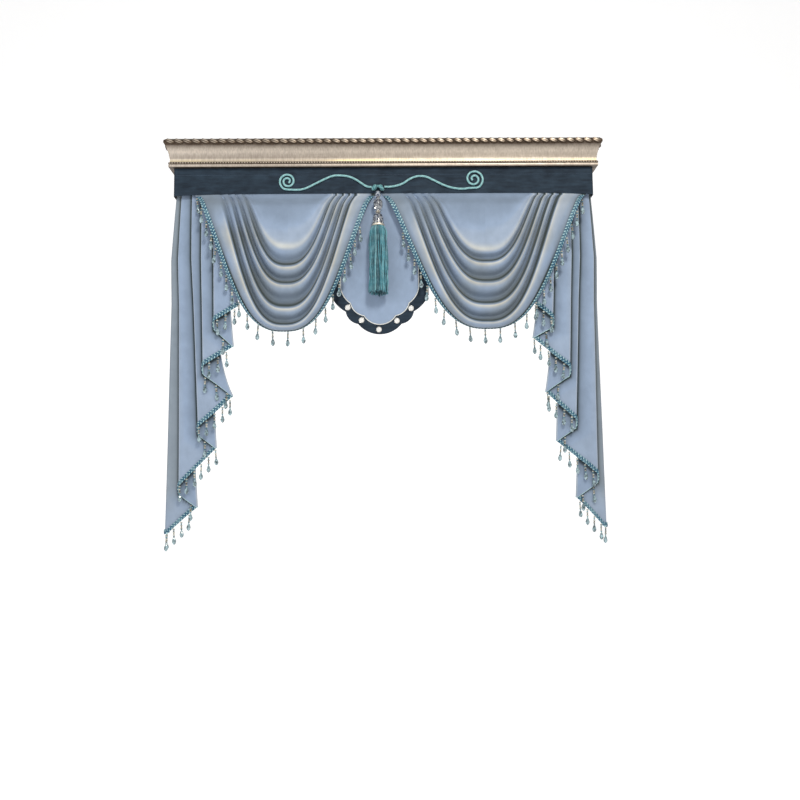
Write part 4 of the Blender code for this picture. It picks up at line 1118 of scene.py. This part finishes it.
def lay_braid(name, hem, inner, finish):
    """The braid: a flat herringbone strip on the face side of the hem."""
    run, (hem, inner) = evenly([hem, inner], BRAID_STEP)
    tangent = unit(np.gradient(hem, axis=0))
    across = unit(inner - hem)
    normal = np.cross(tangent, across)
    for _ in range(3):
        normal[1:-1] = (normal[:-2] + normal[1:-1] * 2 + normal[2:]) / 4
    normal = unit(normal)
    middle = (hem + inner) / 2 - across * BRAID_OVERHANG + normal * (CLOTH / 2 + BRAID_GAP + BRAID_THICK / 2)
    angle = math.tau * np.arange(BRAID_ROUND)[None, :] / BRAID_ROUND
    width_share = np.cos(angle)
    half_width, half_thick = BRAID_WIDTH / 2, BRAID_THICK / 2
    along_strip = run[:, None] + np.sum(across * tangent, axis=1)[:, None] * half_width * width_share
    phase = along_strip / BRAID_STRAND_PITCH + BRAID_LEAN * np.abs(width_share) + (width_share > 0)
    ridge = np.abs(np.sin(math.pi * phase)) ** 0.7 * np.minimum(np.abs(width_share) * 3.0 + 0.35, 1.0)
    swell = 0.74 + 0.26 * ridge
    wide = width_share * half_width * (1.0 + 0.1 * swell)
    rings = rings_round(middle, across, normal, wide, np.sin(angle) * half_thick * swell)
    # strand tones: the two thread colours, painted darker in the grooves between strands as shade
    strand = (np.floor(phase) % len(BRAID_TONES)).astype(int)
    return tube_of(name, rings, finish, np.array(BRAID_TONES)[strand] * ridge)


BEAD_COLOURS = (
    ("ivory_bead", (0.40, 0.40, 0.35), 0.20, 0.0),
    ("gold_bead", (0.30, 0.27, 0.19), 0.25, 0.3),
    ("teal_bead", (0.02, 0.15, 0.20), 0.12, 0.0),
    ("aqua_drop", (0.30, 0.43, 0.47), 0.05, 0.0),
)
bead_finishes = []
for name, colour, roughness, metallic in BEAD_COLOURS:
    made, tree, shader = finish_of(name, colour, roughness, {"Metallic": metallic, "Coat Weight": 0.6})
    tint = remap(tree, speckled(tree, place_in(tree), 110.0), 0.35, 0.65)
    pale = tuple(min(value * 1.5 + 0.10, 1.0) for value in colour)
    deep = tuple(value * 0.28 for value in colour)
    tree.links.new(mix_colour(tree, tint, (*deep, 1), (*pale, 1)), shader.inputs["Base Color"])
    bead_finishes.append(made)
bead_finishes[3].node_tree.nodes["Principled BSDF"].inputs["Transmission Weight"].default_value = 0.35

# how far below the braid each bead's middle is, its half height and radius, and which finish it has
DROP_BEADS = (
    (0.0035, 0.0034, 0.0050, 0),
    (0.0098, 0.0028, 0.0040, 2),
    (0.0155, 0.0030, 0.0052, 0),
    (0.0211, 0.0026, 0.0040, 1),
    (0.0264, 0.0027, 0.0052, 0),
    (0.0316, 0.0025, 0.0044, 2),
)
TEARDROP = (
    # depth under the hem, radius
    (0.0345, 0.0018), (0.0390, 0.0046), (0.0460, 0.0074), (0.0525, 0.0088), (0.0595, 0.0070), (0.0645, 0.0020),
)


def drop_mesh():
    """One drop as points, faces and finishes: beads on a thread and a faceted teardrop, from the braid down."""
    points, faces, finishes = [], [], []

    def lathe(profile, sides, finish):
        first = len(points)
        for depth, radius in profile:
            for k in range(sides):
                angle = 2 * math.pi * k / sides
                points.append((radius * math.cos(angle), radius * math.sin(angle), -depth))
        for ring in range(len(profile) - 1):
            for k in range(sides):
                a, b = first + ring * sides + k, first + ring * sides + (k + 1) % sides
                faces.append((a, b, b + sides, a + sides))
                finishes.append(finish)
        faces.append(tuple(first + k for k in reversed(range(sides))))
        faces.append(tuple(first + (len(profile) - 1) * sides + k for k in range(sides)))
        finishes.extend((finish, finish))

    for depth, half, radius, finish in DROP_BEADS:
        lathe([(depth - half * math.cos(turn), radius * math.sin(turn)) for turn in (0.35, 1.0, 1.57, 2.14, 2.8)],
              7, finish)
    lathe([(0.0, 0.0006), (0.0410, 0.0006)], 4, 0)
    lathe(TEARDROP, 8, 3)
    return np.array(points), faces, finishes


def drop_roots(hem, inner, allowed, pitch, start, proud):
    """Where drops hang: at an even pitch that is counted only along the allowed lengths of the hem."""
    onward = np.gradient(hem, axis=0)
    normal, across = unit(np.cross(onward, inner - hem)), unit(inner - hem)
    travelled = np.cumsum(np.where(allowed, np.linalg.norm(onward, axis=1), 0.0))
    places = np.searchsorted(travelled, np.arange(start, travelled[-1], pitch))
    return [hem[i] + normal[i] * proud - across[i] * DROP_ASIDE for i in places]


def hang_drops(name, roots, seed):
    """Drops, each a little out of line, as one mesh."""
    chance = np.random.default_rng(seed)
    template, faces, finishes = drop_mesh()
    all_points, all_faces, all_finishes = [], [], []
    for place in roots:
        tilt_x, tilt_y = chance.normal(0, 0.045, 2)
        turn = Matrix.Rotation(tilt_x, 3, "X") @ Matrix.Rotation(tilt_y, 3, "Y")
        swung = template @ np.array(turn).T + place
        first = len(all_points)
        all_points.extend(swung.tolist())
        all_faces.extend(tuple(first + k for k in face) for face in faces)
        all_finishes.extend(finishes)
    piece = mesh_piece(name, all_points, all_faces)
    for made in bead_finishes:
        piece.data.materials.append(made)
    piece.data.polygons.foreach_set("material_index", all_finishes)
    return close_shell(piece, 32)


def below_band(hem, inner):
    """Both edges of the braid, cut off where its inner edge comes out from behind the band."""
    shown = np.flatnonzero(inner[:, 2] < BRAID_START)
    first, last = shown[0], shown[-1]
    ends = []
    for outside, inside in ((first - 1, first), (last + 1, last)):
        share = (BRAID_START - inner[outside, 2]) / (inner[inside, 2] - inner[outside, 2])
        ends.append([line[outside] + (line[inside] - line[outside]) * share for line in (hem, inner)])
    return [np.vstack([ends[0][k], line[first:last + 1], ends[1][k]]) for k, line in enumerate((hem, inner))]


def edge_cord(name, hem, inner, tone, radius):
    """A thin cord rolled into the hem's very edge; on the swags it is near-black, a painted shade line."""
    across = unit(inner - hem)
    normal = unit(np.cross(np.gradient(hem, axis=0), across))
    turns = np.linspace(0, math.tau, EDGE_CORD_SIDES + 1)[None, :-1]
    rings = rings_round(hem, across, normal, np.cos(turns) * radius, np.sin(turns) * radius)
    edge = tube_of(name, rings, braid_thread, np.full(rings.shape[:2], tone))
    settle(edge, "braid")
    return edge


def trim_swag(side, table, hem, inner, seed):
    _, (hem, inner) = evenly(below_band(hem, inner), BRAID_STEP)
    braid = lay_braid(f"swag_{side}_braid", hem, inner, braid_thread)
    settle(braid, "braid", f"swag_{side}_fringe")
    middle = (table[-1][0] + table[-1][1]) / 2
    inner_side = 1 if side == "left" else -1
    roots = drop_roots(hem, inner, np.full(len(hem), True), SWAG_DROP_PITCH, SWAG_DROP_START, DROP_PROUD)
    roots = [root for root in roots if (root[0] - middle) * inner_side < 0 or root[2] < INNER_DROP_FIRST]
    drops = hang_drops(f"swag_{side}_drops", roots, seed)
    settle(drops, "braid")
    # the swag's cord is near-black: a painted shade line where the hem turns under
    return braid, drops, edge_cord(f"swag_{side}_edge_cord", hem, inner, 0.02, SWAG_SHADE_CORD)


def trim_tail(side, hem, inner, layers, seed):
    length = run_along(hem)
    run, (hem, inner) = evenly([hem, inner], BRAID_STEP)
    braid = lay_braid(f"tail_{side}_braid", hem, inner, braid_thread)
    settle(braid, "braid", f"tail_{side}_fringe")
    layer = layers[np.searchsorted(length, run).clip(0, len(layers) - 1)]
    faces = (layer >= 0) & (layer % 2 == 0)
    returns = (layer > 0) & (layer % 2 == 1)
    at_side = (layer == layers.max()) & (hem[:, 1] > -CORNER_DROP_DEPTH)
    roots = drop_roots(hem, inner, faces & ~at_side, TAIL_DROP_PITCH, TAIL_DROP_PITCH / 3, DROP_PROUD)
    roots += drop_roots(hem, inner, at_side, SIDE_DROP_PITCH, SIDE_DROP_PITCH / 2, DROP_PROUD)
    roots += drop_roots(hem, inner, returns, RETURN_DROP_PITCH, RETURN_DROP_PITCH / 2, 0.0)
    drops = hang_drops(f"tail_{side}_drops", roots, seed)
    settle(drops, "braid")
    return braid, drops, edge_cord(f"tail_{side}_edge_cord", hem, inner, 0.95, TAIL_EDGE_CORD)


for side, table, (piece, hem, inner), seed in zip(("left", "right"), (LEFT_SWAG, RIGHT_SWAG), swags, (3, 5)):
    trim_swag(side, table, hem, inner, seed)
for side, (piece, hem, inner, layers), seed in zip(("left", "right"), tails, (7, 9)):
    trim_tail(side, hem, inner, layers, seed)

# Pendant: a scalloped navy shape sewn up behind the band between the swags, with a smaller one of pale blue velvet
# laid on it, white satin piping round that, and five pearl studs set in silver on the navy border.

PENDANT_X = -0.0225
PENDANT_THICK = 0.0015
PANEL_DEPTH = SWAG_DEPTH - CLOTH - GAP
BASE_DEPTH = PANEL_DEPTH - PENDANT_THICK - GAP
BASE_CORNERS = ((0.2005, SEAM_TOP), (0.2005, -0.640), (0.139, -0.709), (0.0885, -0.760))
BASE_BULGES, BASE_LAST_BULGE = (0.0, 0.008, 0.012), 0.043
PANEL_CORNERS = ((0.157, SEAM_TOP), (0.157, -0.610), (0.117, -0.6735), (0.063, -0.7245))
PANEL_BULGES, PANEL_LAST_BULGE = (0.0, 0.008, 0.012), 0.036
SCALLOP_POINTS, EDGE_POINTS, PENDANT_ROWS = 16, 30, 36
PENDANT_SWING, PENDANT_DROP = 0.0012, 0.0004
PIPING_RADIUS, PIPING_START, ROPE_GROOVE = 0.002, 0.012, 0.22
STUD_RADIUS, STUD_HEIGHT = 0.012, 0.006
DOME_SHARE, SETTING_SHARE, SETTING_THICK = 0.86, 0.90, 0.0012
STUD_PLACES = ((-0.1305, -0.692), (-0.075, -0.745), (-0.004, -0.784), (0.0695, -0.748), (0.1275, -0.697))


def arc(a, b, bulge, count=SCALLOP_POINTS):
    """Points from a to b on an arc that stands bulge proud of the chord, on its left."""
    chord = math.dist(a, b)
    radius = (chord * chord / 4 + bulge * bulge) / (2 * bulge)
    swing = math.asin(chord / 2 / radius)
    way = ((b[0] - a[0]) / chord, (b[1] - a[1]) / chord)
    side = (-way[1], way[0])
    points = []
    for step in range(count + 1):
        angle = swing * (2 * step / count - 1)
        run = chord / 2 + radius * math.sin(angle)
        proud = bulge - radius * (1 - math.cos(angle))
        points.append((a[0] + way[0] * run + side[0] * proud, a[1] + way[1] * run + side[1] * proud))
    return points


def scalloped(corners, bulges, last_bulge):
    """The whole outline as (x, z), from the seam at the right down round the scallops to the seam at the left."""
    half = [corners[0]]
    for a, b, bulge in zip(corners, corners[1:], bulges):
        if bulge:
            half += arc(a, b, bulge)[1:]
        else:
            half += np.linspace(a, b, EDGE_POINTS)[1:].tolist()
    across = arc(corners[-1], (-corners[-1][0], corners[-1][1]), last_bulge, 2 * SCALLOP_POINTS)
    half += across[1:SCALLOP_POINTS + 1]
    return half + [(-x, z) for x, z in reversed(half[:-1])]


def soft_flat(x, z):
    """How far the pendant's layers swing forward together: nearly flat."""
    return PENDANT_SWING * noise.noise(Vector((x * 9, 5.1, z * 6))) * float(ease((SEAM_LINE - z) / 0.2))


def pendant_layer(name, outline, depth, finish):
    top = [(outline[0][0] * (1 - 2 * share), SEAM_TOP) for share in np.linspace(0, 1, len(outline))]
    rows = []
    for share in np.linspace(0, 1, PENDANT_ROWS):
        row = []
        for low, high in zip(outline, top):
            x = PENDANT_X + low[0] + (high[0] - low[0]) * share
            z = low[1] + (high[1] - low[1]) * share - PENDANT_DROP * (1 - share)
            row.append((x, -depth - soft_flat(x, z), z))
        rows.append(row[::-1])
    return sheet_of(name, rows, PENDANT_THICK, finish, tone=np.full((PENDANT_ROWS, len(outline)), FLAT_TONE))


base_outline = scalloped(BASE_CORNERS, BASE_BULGES, BASE_LAST_BULGE)
panel_outline = scalloped(PANEL_CORNERS, PANEL_BULGES, PANEL_LAST_BULGE)
base = pendant_layer("pendant_navy", base_outline, BASE_DEPTH, navy_velvet)
settle(base, "navy_velvet", "pendant_base")
panel = pendant_layer("pendant_blue", panel_outline, PANEL_DEPTH, blue_velvet)
settle(panel, "blue_velvet", "pendant_panel")

piping_route = []
for i, (x, z) in enumerate(panel_outline):
    before = Vector(panel_outline[max(i - 1, 0)])
    after = Vector(panel_outline[min(i + 1, len(panel_outline) - 1)])
    way = (after - before).normalized()
    reach = PIPING_RADIUS + 2 * GAP
    x, z = x + PENDANT_X - way.y * reach, z + way.x * reach
    if z < BAND_BOTTOM - PIPING_START:
        piping_route.append((x, -(BASE_DEPTH + PENDANT_THICK / 2 + GAP + PIPING_RADIUS) - soft_flat(x, z), z))


def rope_of(name, route, radius, step, turn, strands, round_count, finish, tones):
    """A twisted rope along a route. The strands' crests have their own tone and the grooves are painted dark, as
    shade.
    """
    run, (line,) = evenly([np.asarray(route, float)], step)
    tangent = unit(np.gradient(line, axis=0))
    side = np.cross(tangent, (0.0, 1.0, 0.0))
    weak = np.linalg.norm(side, axis=1) < 0.15
    side[weak] = np.cross(tangent[weak], (1.0, 0.0, 0.0))
    side = unit(side)
    front = np.cross(side, tangent)
    turns = np.arange(round_count)[None, :] / round_count
    phase = strands * (turns - run[:, None] / turn)
    ridge = np.abs(np.sin(math.pi * phase)) ** 0.7
    reach = radius * (1 - ROPE_GROOVE * (1 - ridge))
    rings = rings_round(line, side, front, np.cos(math.tau * turns) * reach, np.sin(math.tau * turns) * reach)
    strand = (np.floor(phase) % strands).astype(int)
    return tube_of(name, rings, finish, np.array(tones)[strand] * (0.25 + 0.75 * ridge))


satin_piping = threaded("white_piping", (0.42, 0.45, 0.46), (0.72, 0.74, 0.72), (0.85, 0.85, 0.82))
piping = rope_of(
    "pendant_white_piping", piping_route, PIPING_RADIUS, 0.0018, 0.014, 2, 8, satin_piping, (0.7, 0.95))
settle(piping, "piping", "pendant_piping")

pearl, pearl_tree, pearl_shader = finish_of(
    "pearl", (0.85, 0.84, 0.80), 0.16, {"Coat Weight": 0.8, "Coat Roughness": 0.08})
pearl_cloud = speckled(pearl_tree, place_in(pearl_tree), 260.0)
pearl_colour = mix_colour(pearl_tree, pearl_cloud, (0.92, 0.88, 0.82, 1), (0.62, 0.64, 0.66, 1))
pearl_tree.links.new(pearl_colour, pearl_shader.inputs["Base Color"])
silver = finish_of("stud_silver", (0.62, 0.62, 0.60), 0.25, {"Metallic": 1.0})[0]
stud_front = BASE_DEPTH + PENDANT_THICK / 2 + GAP
for number, (x, z) in enumerate(STUD_PLACES, 1):
    deselect()
    bpy.ops.mesh.primitive_uv_sphere_add(segments=28, ring_count=16, radius=STUD_RADIUS * DOME_SHARE)
    dome = bpy.context.object
    edit_all(dome)
    bpy.ops.transform.rotate(value=math.pi / 2, orient_axis="X", center_override=(0, 0, 0))
    bpy.ops.mesh.bisect(plane_co=(0, 0, 0), plane_no=(0, 1, 0), use_fill=True, clear_outer=True)
    back_to_object()
    bpy.ops.transform.resize(value=(1, STUD_HEIGHT / STUD_RADIUS, 1))
    bpy.ops.object.transform_apply(scale=True, rotation=True)
    dome.data.materials.append(pearl)
    deselect()
    bpy.ops.mesh.primitive_torus_add(
        major_segments=28, minor_segments=8, major_radius=STUD_RADIUS * SETTING_SHARE, minor_radius=SETTING_THICK,
        location=(0, -SETTING_THICK, 0), rotation=(math.pi / 2, 0, 0),
    )
    setting = bpy.context.object
    setting.data.materials.append(silver)
    stud = as_one(f"pendant_stud_{number}", [dome, setting])
    moved(stud, (PENDANT_X + x, -stud_front - soft_flat(PENDANT_X + x, z), z))
    close_shell(stud, 50)
    settle(stud, "pearl", f"stud_{number}")

# Scroll: a twisted aqua rope couched to the band in two waves that end in spirals, and bound in the middle by wraps
# of the same rope, from which the tassel hangs.

CORD_RADIUS = 0.0045
CORD_DEPTH = FRONT + GAP + CORD_RADIUS
LEFT_WAVE = (
    # x, z
    (-0.0525, -0.191),
    (-0.072, -0.188),
    (-0.093, -0.175),
    (-0.120, -0.157),
    (-0.149, -0.145),
    (-0.184, -0.141),
    (-0.212, -0.143),
    (-0.243, -0.155),
    (-0.281, -0.174),
    (-0.319, -0.193),
    (-0.344, -0.200),
    (-0.372, -0.201),
)
RIGHT_WAVE = (
    (0.0005, -0.190),
    (0.022, -0.190),
    (0.048, -0.186),
    (0.077, -0.176),
    (0.106, -0.157),
    (0.136, -0.146),
    (0.170, -0.147),
    (0.203, -0.162),
    (0.247, -0.184),
    (0.285, -0.196),
    (0.323, -0.200),
    (0.350, -0.197),
)
LEFT_SPIRAL = {"x": -0.398, "z": -0.165, "outer": 0.036, "inner": 0.007, "turns": 1.95, "start": 282, "way": -1}
RIGHT_SPIRAL = {"x": 0.371, "z": -0.158, "outer": 0.041, "inner": 0.007, "turns": 1.9, "start": 262, "way": 1}
SPIRAL_POINTS_PER_TURN = 12
ROPE_STEP, ROPE_TURN = 0.0016, 0.024


def spiral_points(spiral):
    """(x, z) from the spiral's outer end inwards."""
    count = round(spiral["turns"] * SPIRAL_POINTS_PER_TURN)
    points = []
    for step in range(1, count + 1):
        share = step / count
        radius = spiral["outer"] + (spiral["inner"] - spiral["outer"]) * share
        angle = math.radians(spiral["start"]) + spiral["way"] * share * spiral["turns"] * math.tau
        points.append((spiral["x"] + radius * math.cos(angle), spiral["z"] + radius * math.sin(angle)))
    return points


def smooth_route(points, per_span=8):
    table = np.asarray(points, float)
    return through_rows(table, np.linspace(0, len(table) - 1, (len(table) - 1) * per_span + 1))


aqua_rope = threaded("aqua_rope", (0.03, 0.12, 0.14), (0.20, 0.45, 0.47), (0.42, 0.68, 0.68))
for side, wave, spiral in (("left", LEFT_WAVE, LEFT_SPIRAL), ("right", RIGHT_WAVE, RIGHT_SPIRAL)):
    flat_route = smooth_route([*wave, *spiral_points(spiral)])
    route = [(x, -CORD_DEPTH, z) for x, z in flat_route]
    scroll = rope_of(f"scroll_rope_{side}", route, CORD_RADIUS, ROPE_STEP, ROPE_TURN, 3, 12, aqua_rope,
                     (0.62, 0.80, 0.95))
    settle(scroll, "cord", f"scroll_cord_{side}")

KNOT_X, KNOT_Z, KNOT_RADIUS = (-0.0515, -0.0015), -0.1965, 0.0135
WRAPS_PER_LUMP, LUMP_GAP, LUMP_TAPER = 2, 0.006, 0.20
WRAP_RADIUS, WRAP_LEAN, WRAP_TURN, WRAP_POINTS = 0.0056, 0.0045, 0.020, 26


def knot_route():
    """Two lumps of wraps that lean towards each other, with the tassel's loop in the gap between them."""
    points = []
    lump = (KNOT_X[1] - KNOT_X[0] - LUMP_GAP) / 2 - 2 * WRAP_RADIUS
    for first, lean in ((KNOT_X[0] + WRAP_RADIUS, WRAP_LEAN), (KNOT_X[1] - WRAP_RADIUS - lump, -WRAP_LEAN)):
        steps = WRAP_POINTS * WRAPS_PER_LUMP
        for step in range(steps + 1):
            share = step / steps
            angle = share * WRAPS_PER_LUMP * math.tau
            coil = (KNOT_RADIUS - WRAP_RADIUS) * (1 - LUMP_TAPER * (2 * share - 1) ** 2)
            points.append((
                first + lump * share + lean * math.cos(angle),
                -(FRONT + GAP + KNOT_RADIUS) - coil * math.sin(angle),
                KNOT_Z + coil * math.cos(angle),
            ))
    return points


knot_rope = threaded("knot_rope", (0.010, 0.045, 0.055), (0.055, 0.23, 0.26), (0.26, 0.52, 0.53))
knot = rope_of(
    "scroll_knot", knot_route(), WRAP_RADIUS, ROPE_STEP, WRAP_TURN, 3, 10, knot_rope, (0.55, 0.75, 0.95))
settle(knot, "cord", "knot")

# Tassel: crystal beads and a fluted crystal bell strung on a cord, a gold collar, and a skirt of twisted teal yarns

TASSEL_PLACE = Vector((-0.0265, -0.178, -0.2115))
TASSEL_LEAN = math.radians(3.4)
BEAD_TOP_PROFILE = ((0.004, 0.000), (0.010, -0.006), (0.0125, -0.015), (0.010, -0.025), (0.006, -0.032))
CAP_PROFILE = ((0.006, 0.0), (0.011, -0.005), (0.019, -0.013), (0.0195, -0.034), (0.013, -0.047), (0.006, -0.053))
BEAD_MIDDLE_PROFILE = ((0.006, 0.0), (0.0115, -0.005), (0.006, -0.010))
BELL_PROFILE = (
    (0.006, 0.0), (0.016, -0.006), (0.021, -0.016), (0.0225, -0.030), (0.0235, -0.044), (0.0235, -0.047),
)
ROUND_SIDES, STONE_BEVEL = 20, 0.0005
COLLAR_PROFILE = ((0.0235, 0.0), (0.0265, -0.003), (0.0265, -0.007), (0.0245, -0.010))

crystal, crystal_tree, crystal_shader = finish_of(
    "clear_crystal", (0.93, 0.96, 0.96), 0.05, {"Transmission Weight": 0.8, "IOR": 1.52, "Coat Weight": 0.5})
crystal_place = place_in(crystal_tree)
crystal_veil = speckled(crystal_tree, crystal_place, 150.0)
crystal_rough = remap(crystal_tree, crystal_veil, to_low=0.02, to_high=0.16)
crystal_tree.links.new(crystal_rough, crystal_shader.inputs["Roughness"])
# painted reflections: noise patches turn the crystal's colour near-black and near-white, for refraction and glints
crystal_glint = remap(crystal_tree, speckled(crystal_tree, crystal_place, 95.0, Detail=1.0), 0.45, 0.55)
crystal_painted_glints = mix_colour(crystal_tree, crystal_glint, (0.10, 0.11, 0.15, 1), (0.97, 0.98, 0.98, 1))
crystal_tree.links.new(crystal_painted_glints, crystal_shader.inputs["Base Color"])
bright_gold = gilded("pale_gold", 1.1, 0.0, (0.74, 0.68, 0.57, 1))


def hang_on_axis(piece):
    """Leans a piece that was made upright under the origin, and hangs it from the knot."""
    edit_all(piece)
    bpy.ops.transform.rotate(value=TASSEL_LEAN, orient_axis="X", center_override=(0, 0, 0))
    bpy.ops.transform.translate(value=TASSEL_PLACE)
    back_to_object()


def cut_stone(name, profile, top, sides, finish):
    """A disc is extruded ring by ring down its profile. A stone is faceted, and its edges are ground off."""
    deselect()
    bpy.ops.mesh.primitive_circle_add(vertices=sides, radius=profile[0][0], fill_type="NGON",
                                      location=(0, 0, top + profile[0][1]))
    stone = bpy.context.object
    bpy.ops.object.transform_apply(location=True)
    bpy.ops.object.mode_set(mode="EDIT")
    bpy.ops.mesh.select_mode(type="FACE")
    bpy.ops.mesh.select_all(action="SELECT")
    for before, after in zip(profile, profile[1:]):
        bpy.ops.mesh.extrude_region_move(TRANSFORM_OT_translate={"value": (0, 0, after[1] - before[1])})
        ratio = after[0] / before[0]
        bpy.ops.transform.resize(value=(ratio, ratio, 1), center_override=(0, 0, 0))
        if sides < ROUND_SIDES:
            bpy.ops.transform.rotate(value=math.pi / sides, orient_axis="Z", center_override=(0, 0, 0))
    bpy.ops.mesh.select_all(action="SELECT")
    bpy.ops.mesh.quads_convert_to_tris(quad_method="SHORTEST_DIAGONAL")
    close_shell(stone, 20)
    stone.name = name
    stone.data.materials.append(finish)
    if sides < ROUND_SIDES:
        ground = stone.modifiers.new("ground", "BEVEL")
        ground.width = STONE_BEVEL
        ground.segments = 1
        ground.limit_method = "ANGLE"
        ground.angle_limit = math.radians(15)
        bpy.ops.object.modifier_apply(modifier=ground.name)
    return top + profile[-1][1], stone


tassel_top = -2 * GAP
for name, profile, sides, finish, slot, node in (
    ("tassel_top_bead", BEAD_TOP_PROFILE, 10, crystal, "crystal", "tassel_bead_top"),
    ("tassel_crystal_cap", CAP_PROFILE, 12, crystal, "crystal", "tassel_cap"),
    ("tassel_gold_bead", BEAD_MIDDLE_PROFILE, 24, bright_gold, "gold", "tassel_bead_middle"),
    ("tassel_crystal_bell", BELL_PROFILE, 14, crystal, "crystal", "tassel_bell"),
    ("tassel_gold_collar", COLLAR_PROFILE, 36, bright_gold, "gold", "tassel_collar"),
):
    tassel_top, stone = cut_stone(name, profile, tassel_top, sides, finish)
    tassel_top -= GAP
    hang_on_axis(stone)
    settle(stone, slot, node)

SKIRT_LONG = 0.276
SKIRT_TOP_RADIUS, SKIRT_ROOT_RADIUS, SKIRT_HEM_RADIUS, SKIRT_SPREAD = 0.0265, 0.0330, 0.0368, 1.3
SKIRT_HEAD = 1 / 14
YARN_RADIUS, YARN_SLIM, YARN_TIP = 0.0024, 0.75, 0.97
YARN_RINGS, YARN_SIDES, YARN_TWIST = 26, 6, 95
YARNS_PER_RING, RING_INWARD, RING_DARK = (44, 34, 22), 0.24, 0.3
YARN_UNEVEN = {"angle": 0.02, "long": 0.0035, "sway": 0.0022, "hue": (0.12, 1.0)}


def skirt_yarns():
    """Yarns in three rings, each a little wavy and uneven, as rings of points with their tones."""
    chance = np.random.default_rng(21)
    share = np.linspace(0, 1, YARN_RINGS)[:, None]
    head = np.minimum(share / SKIRT_HEAD, 1.0)
    reach = SKIRT_TOP_RADIUS + (SKIRT_ROOT_RADIUS - SKIRT_TOP_RADIUS) * head
    reach = reach + (SKIRT_HEM_RADIUS - SKIRT_ROOT_RADIUS) * share ** SKIRT_SPREAD
    turn = math.tau * np.arange(YARN_SIDES)[None, :] / YARN_SIDES
    twist = np.abs(np.sin(turn + share * YARN_TWIST))
    swell = YARN_RADIUS * np.where(share < YARN_TIP, 1.0, YARN_SLIM) * (0.86 + 0.22 * twist)
    yarns = []
    for ring, count in enumerate(YARNS_PER_RING):
        for k in range(count):
            angle = math.tau * (k + 0.5 * (ring % 2)) / count + chance.normal(0, YARN_UNEVEN["angle"])
            long = SKIRT_LONG + chance.normal(0, YARN_UNEVEN["long"])
            sway = chance.normal(0, YARN_UNEVEN["sway"], 4)
            hue = chance.uniform(*YARN_UNEVEN["hue"])
            outward = reach * (1 - RING_INWARD * ring) + sway[0] * np.sin(share * 9 + sway[2] * 900) * head
            aside = sway[1] * np.sin(share * 7 + sway[3] * 900) * head
            x = outward * math.cos(angle) - aside * math.sin(angle) + swell * np.cos(turn)
            y = outward * math.sin(angle) + aside * math.cos(angle) + swell * np.sin(turn)
            rings = np.stack([x, y, np.broadcast_to(-share * long, x.shape)], axis=-1)
            # tone: a random hue per yarn, painted darker in the twists' grooves and on the inner rings, as shade
            yarns.append((rings, hue * (0.45 + 0.55 * twist) * (1 - RING_DARK * ring)))
    return yarns


teal_yarn = threaded("teal_yarn", (0.006, 0.035, 0.055), (0.045, 0.245, 0.31), (0.34, 0.64, 0.68))
all_points, all_faces, all_tones = [], [], []
for rings, tones in skirt_yarns():
    first = len(all_points)
    count, around = rings.shape[:2]
    number = np.arange(count * around).reshape(count, around) + first
    after = np.roll(number, -1, axis=1)
    all_faces += np.stack([number[:-1], number[1:], after[1:], after[:-1]], axis=-1).reshape(-1, 4).tolist()
    all_faces += [number[0].tolist(), number[-1][::-1].tolist()]
    all_points += rings.reshape(-1, 3).tolist()
    all_tones += tones.ravel().tolist()
skirt = mesh_piece("tassel_yarns", all_points, all_faces, tone=all_tones)
skirt.data.materials.append(teal_yarn)
close_shell(skirt, 60)
moved(skirt, (0, 0, tassel_top - YARN_RADIUS))
hang_on_axis(skirt)
settle(skirt, "yarn", "tassel_skirt")
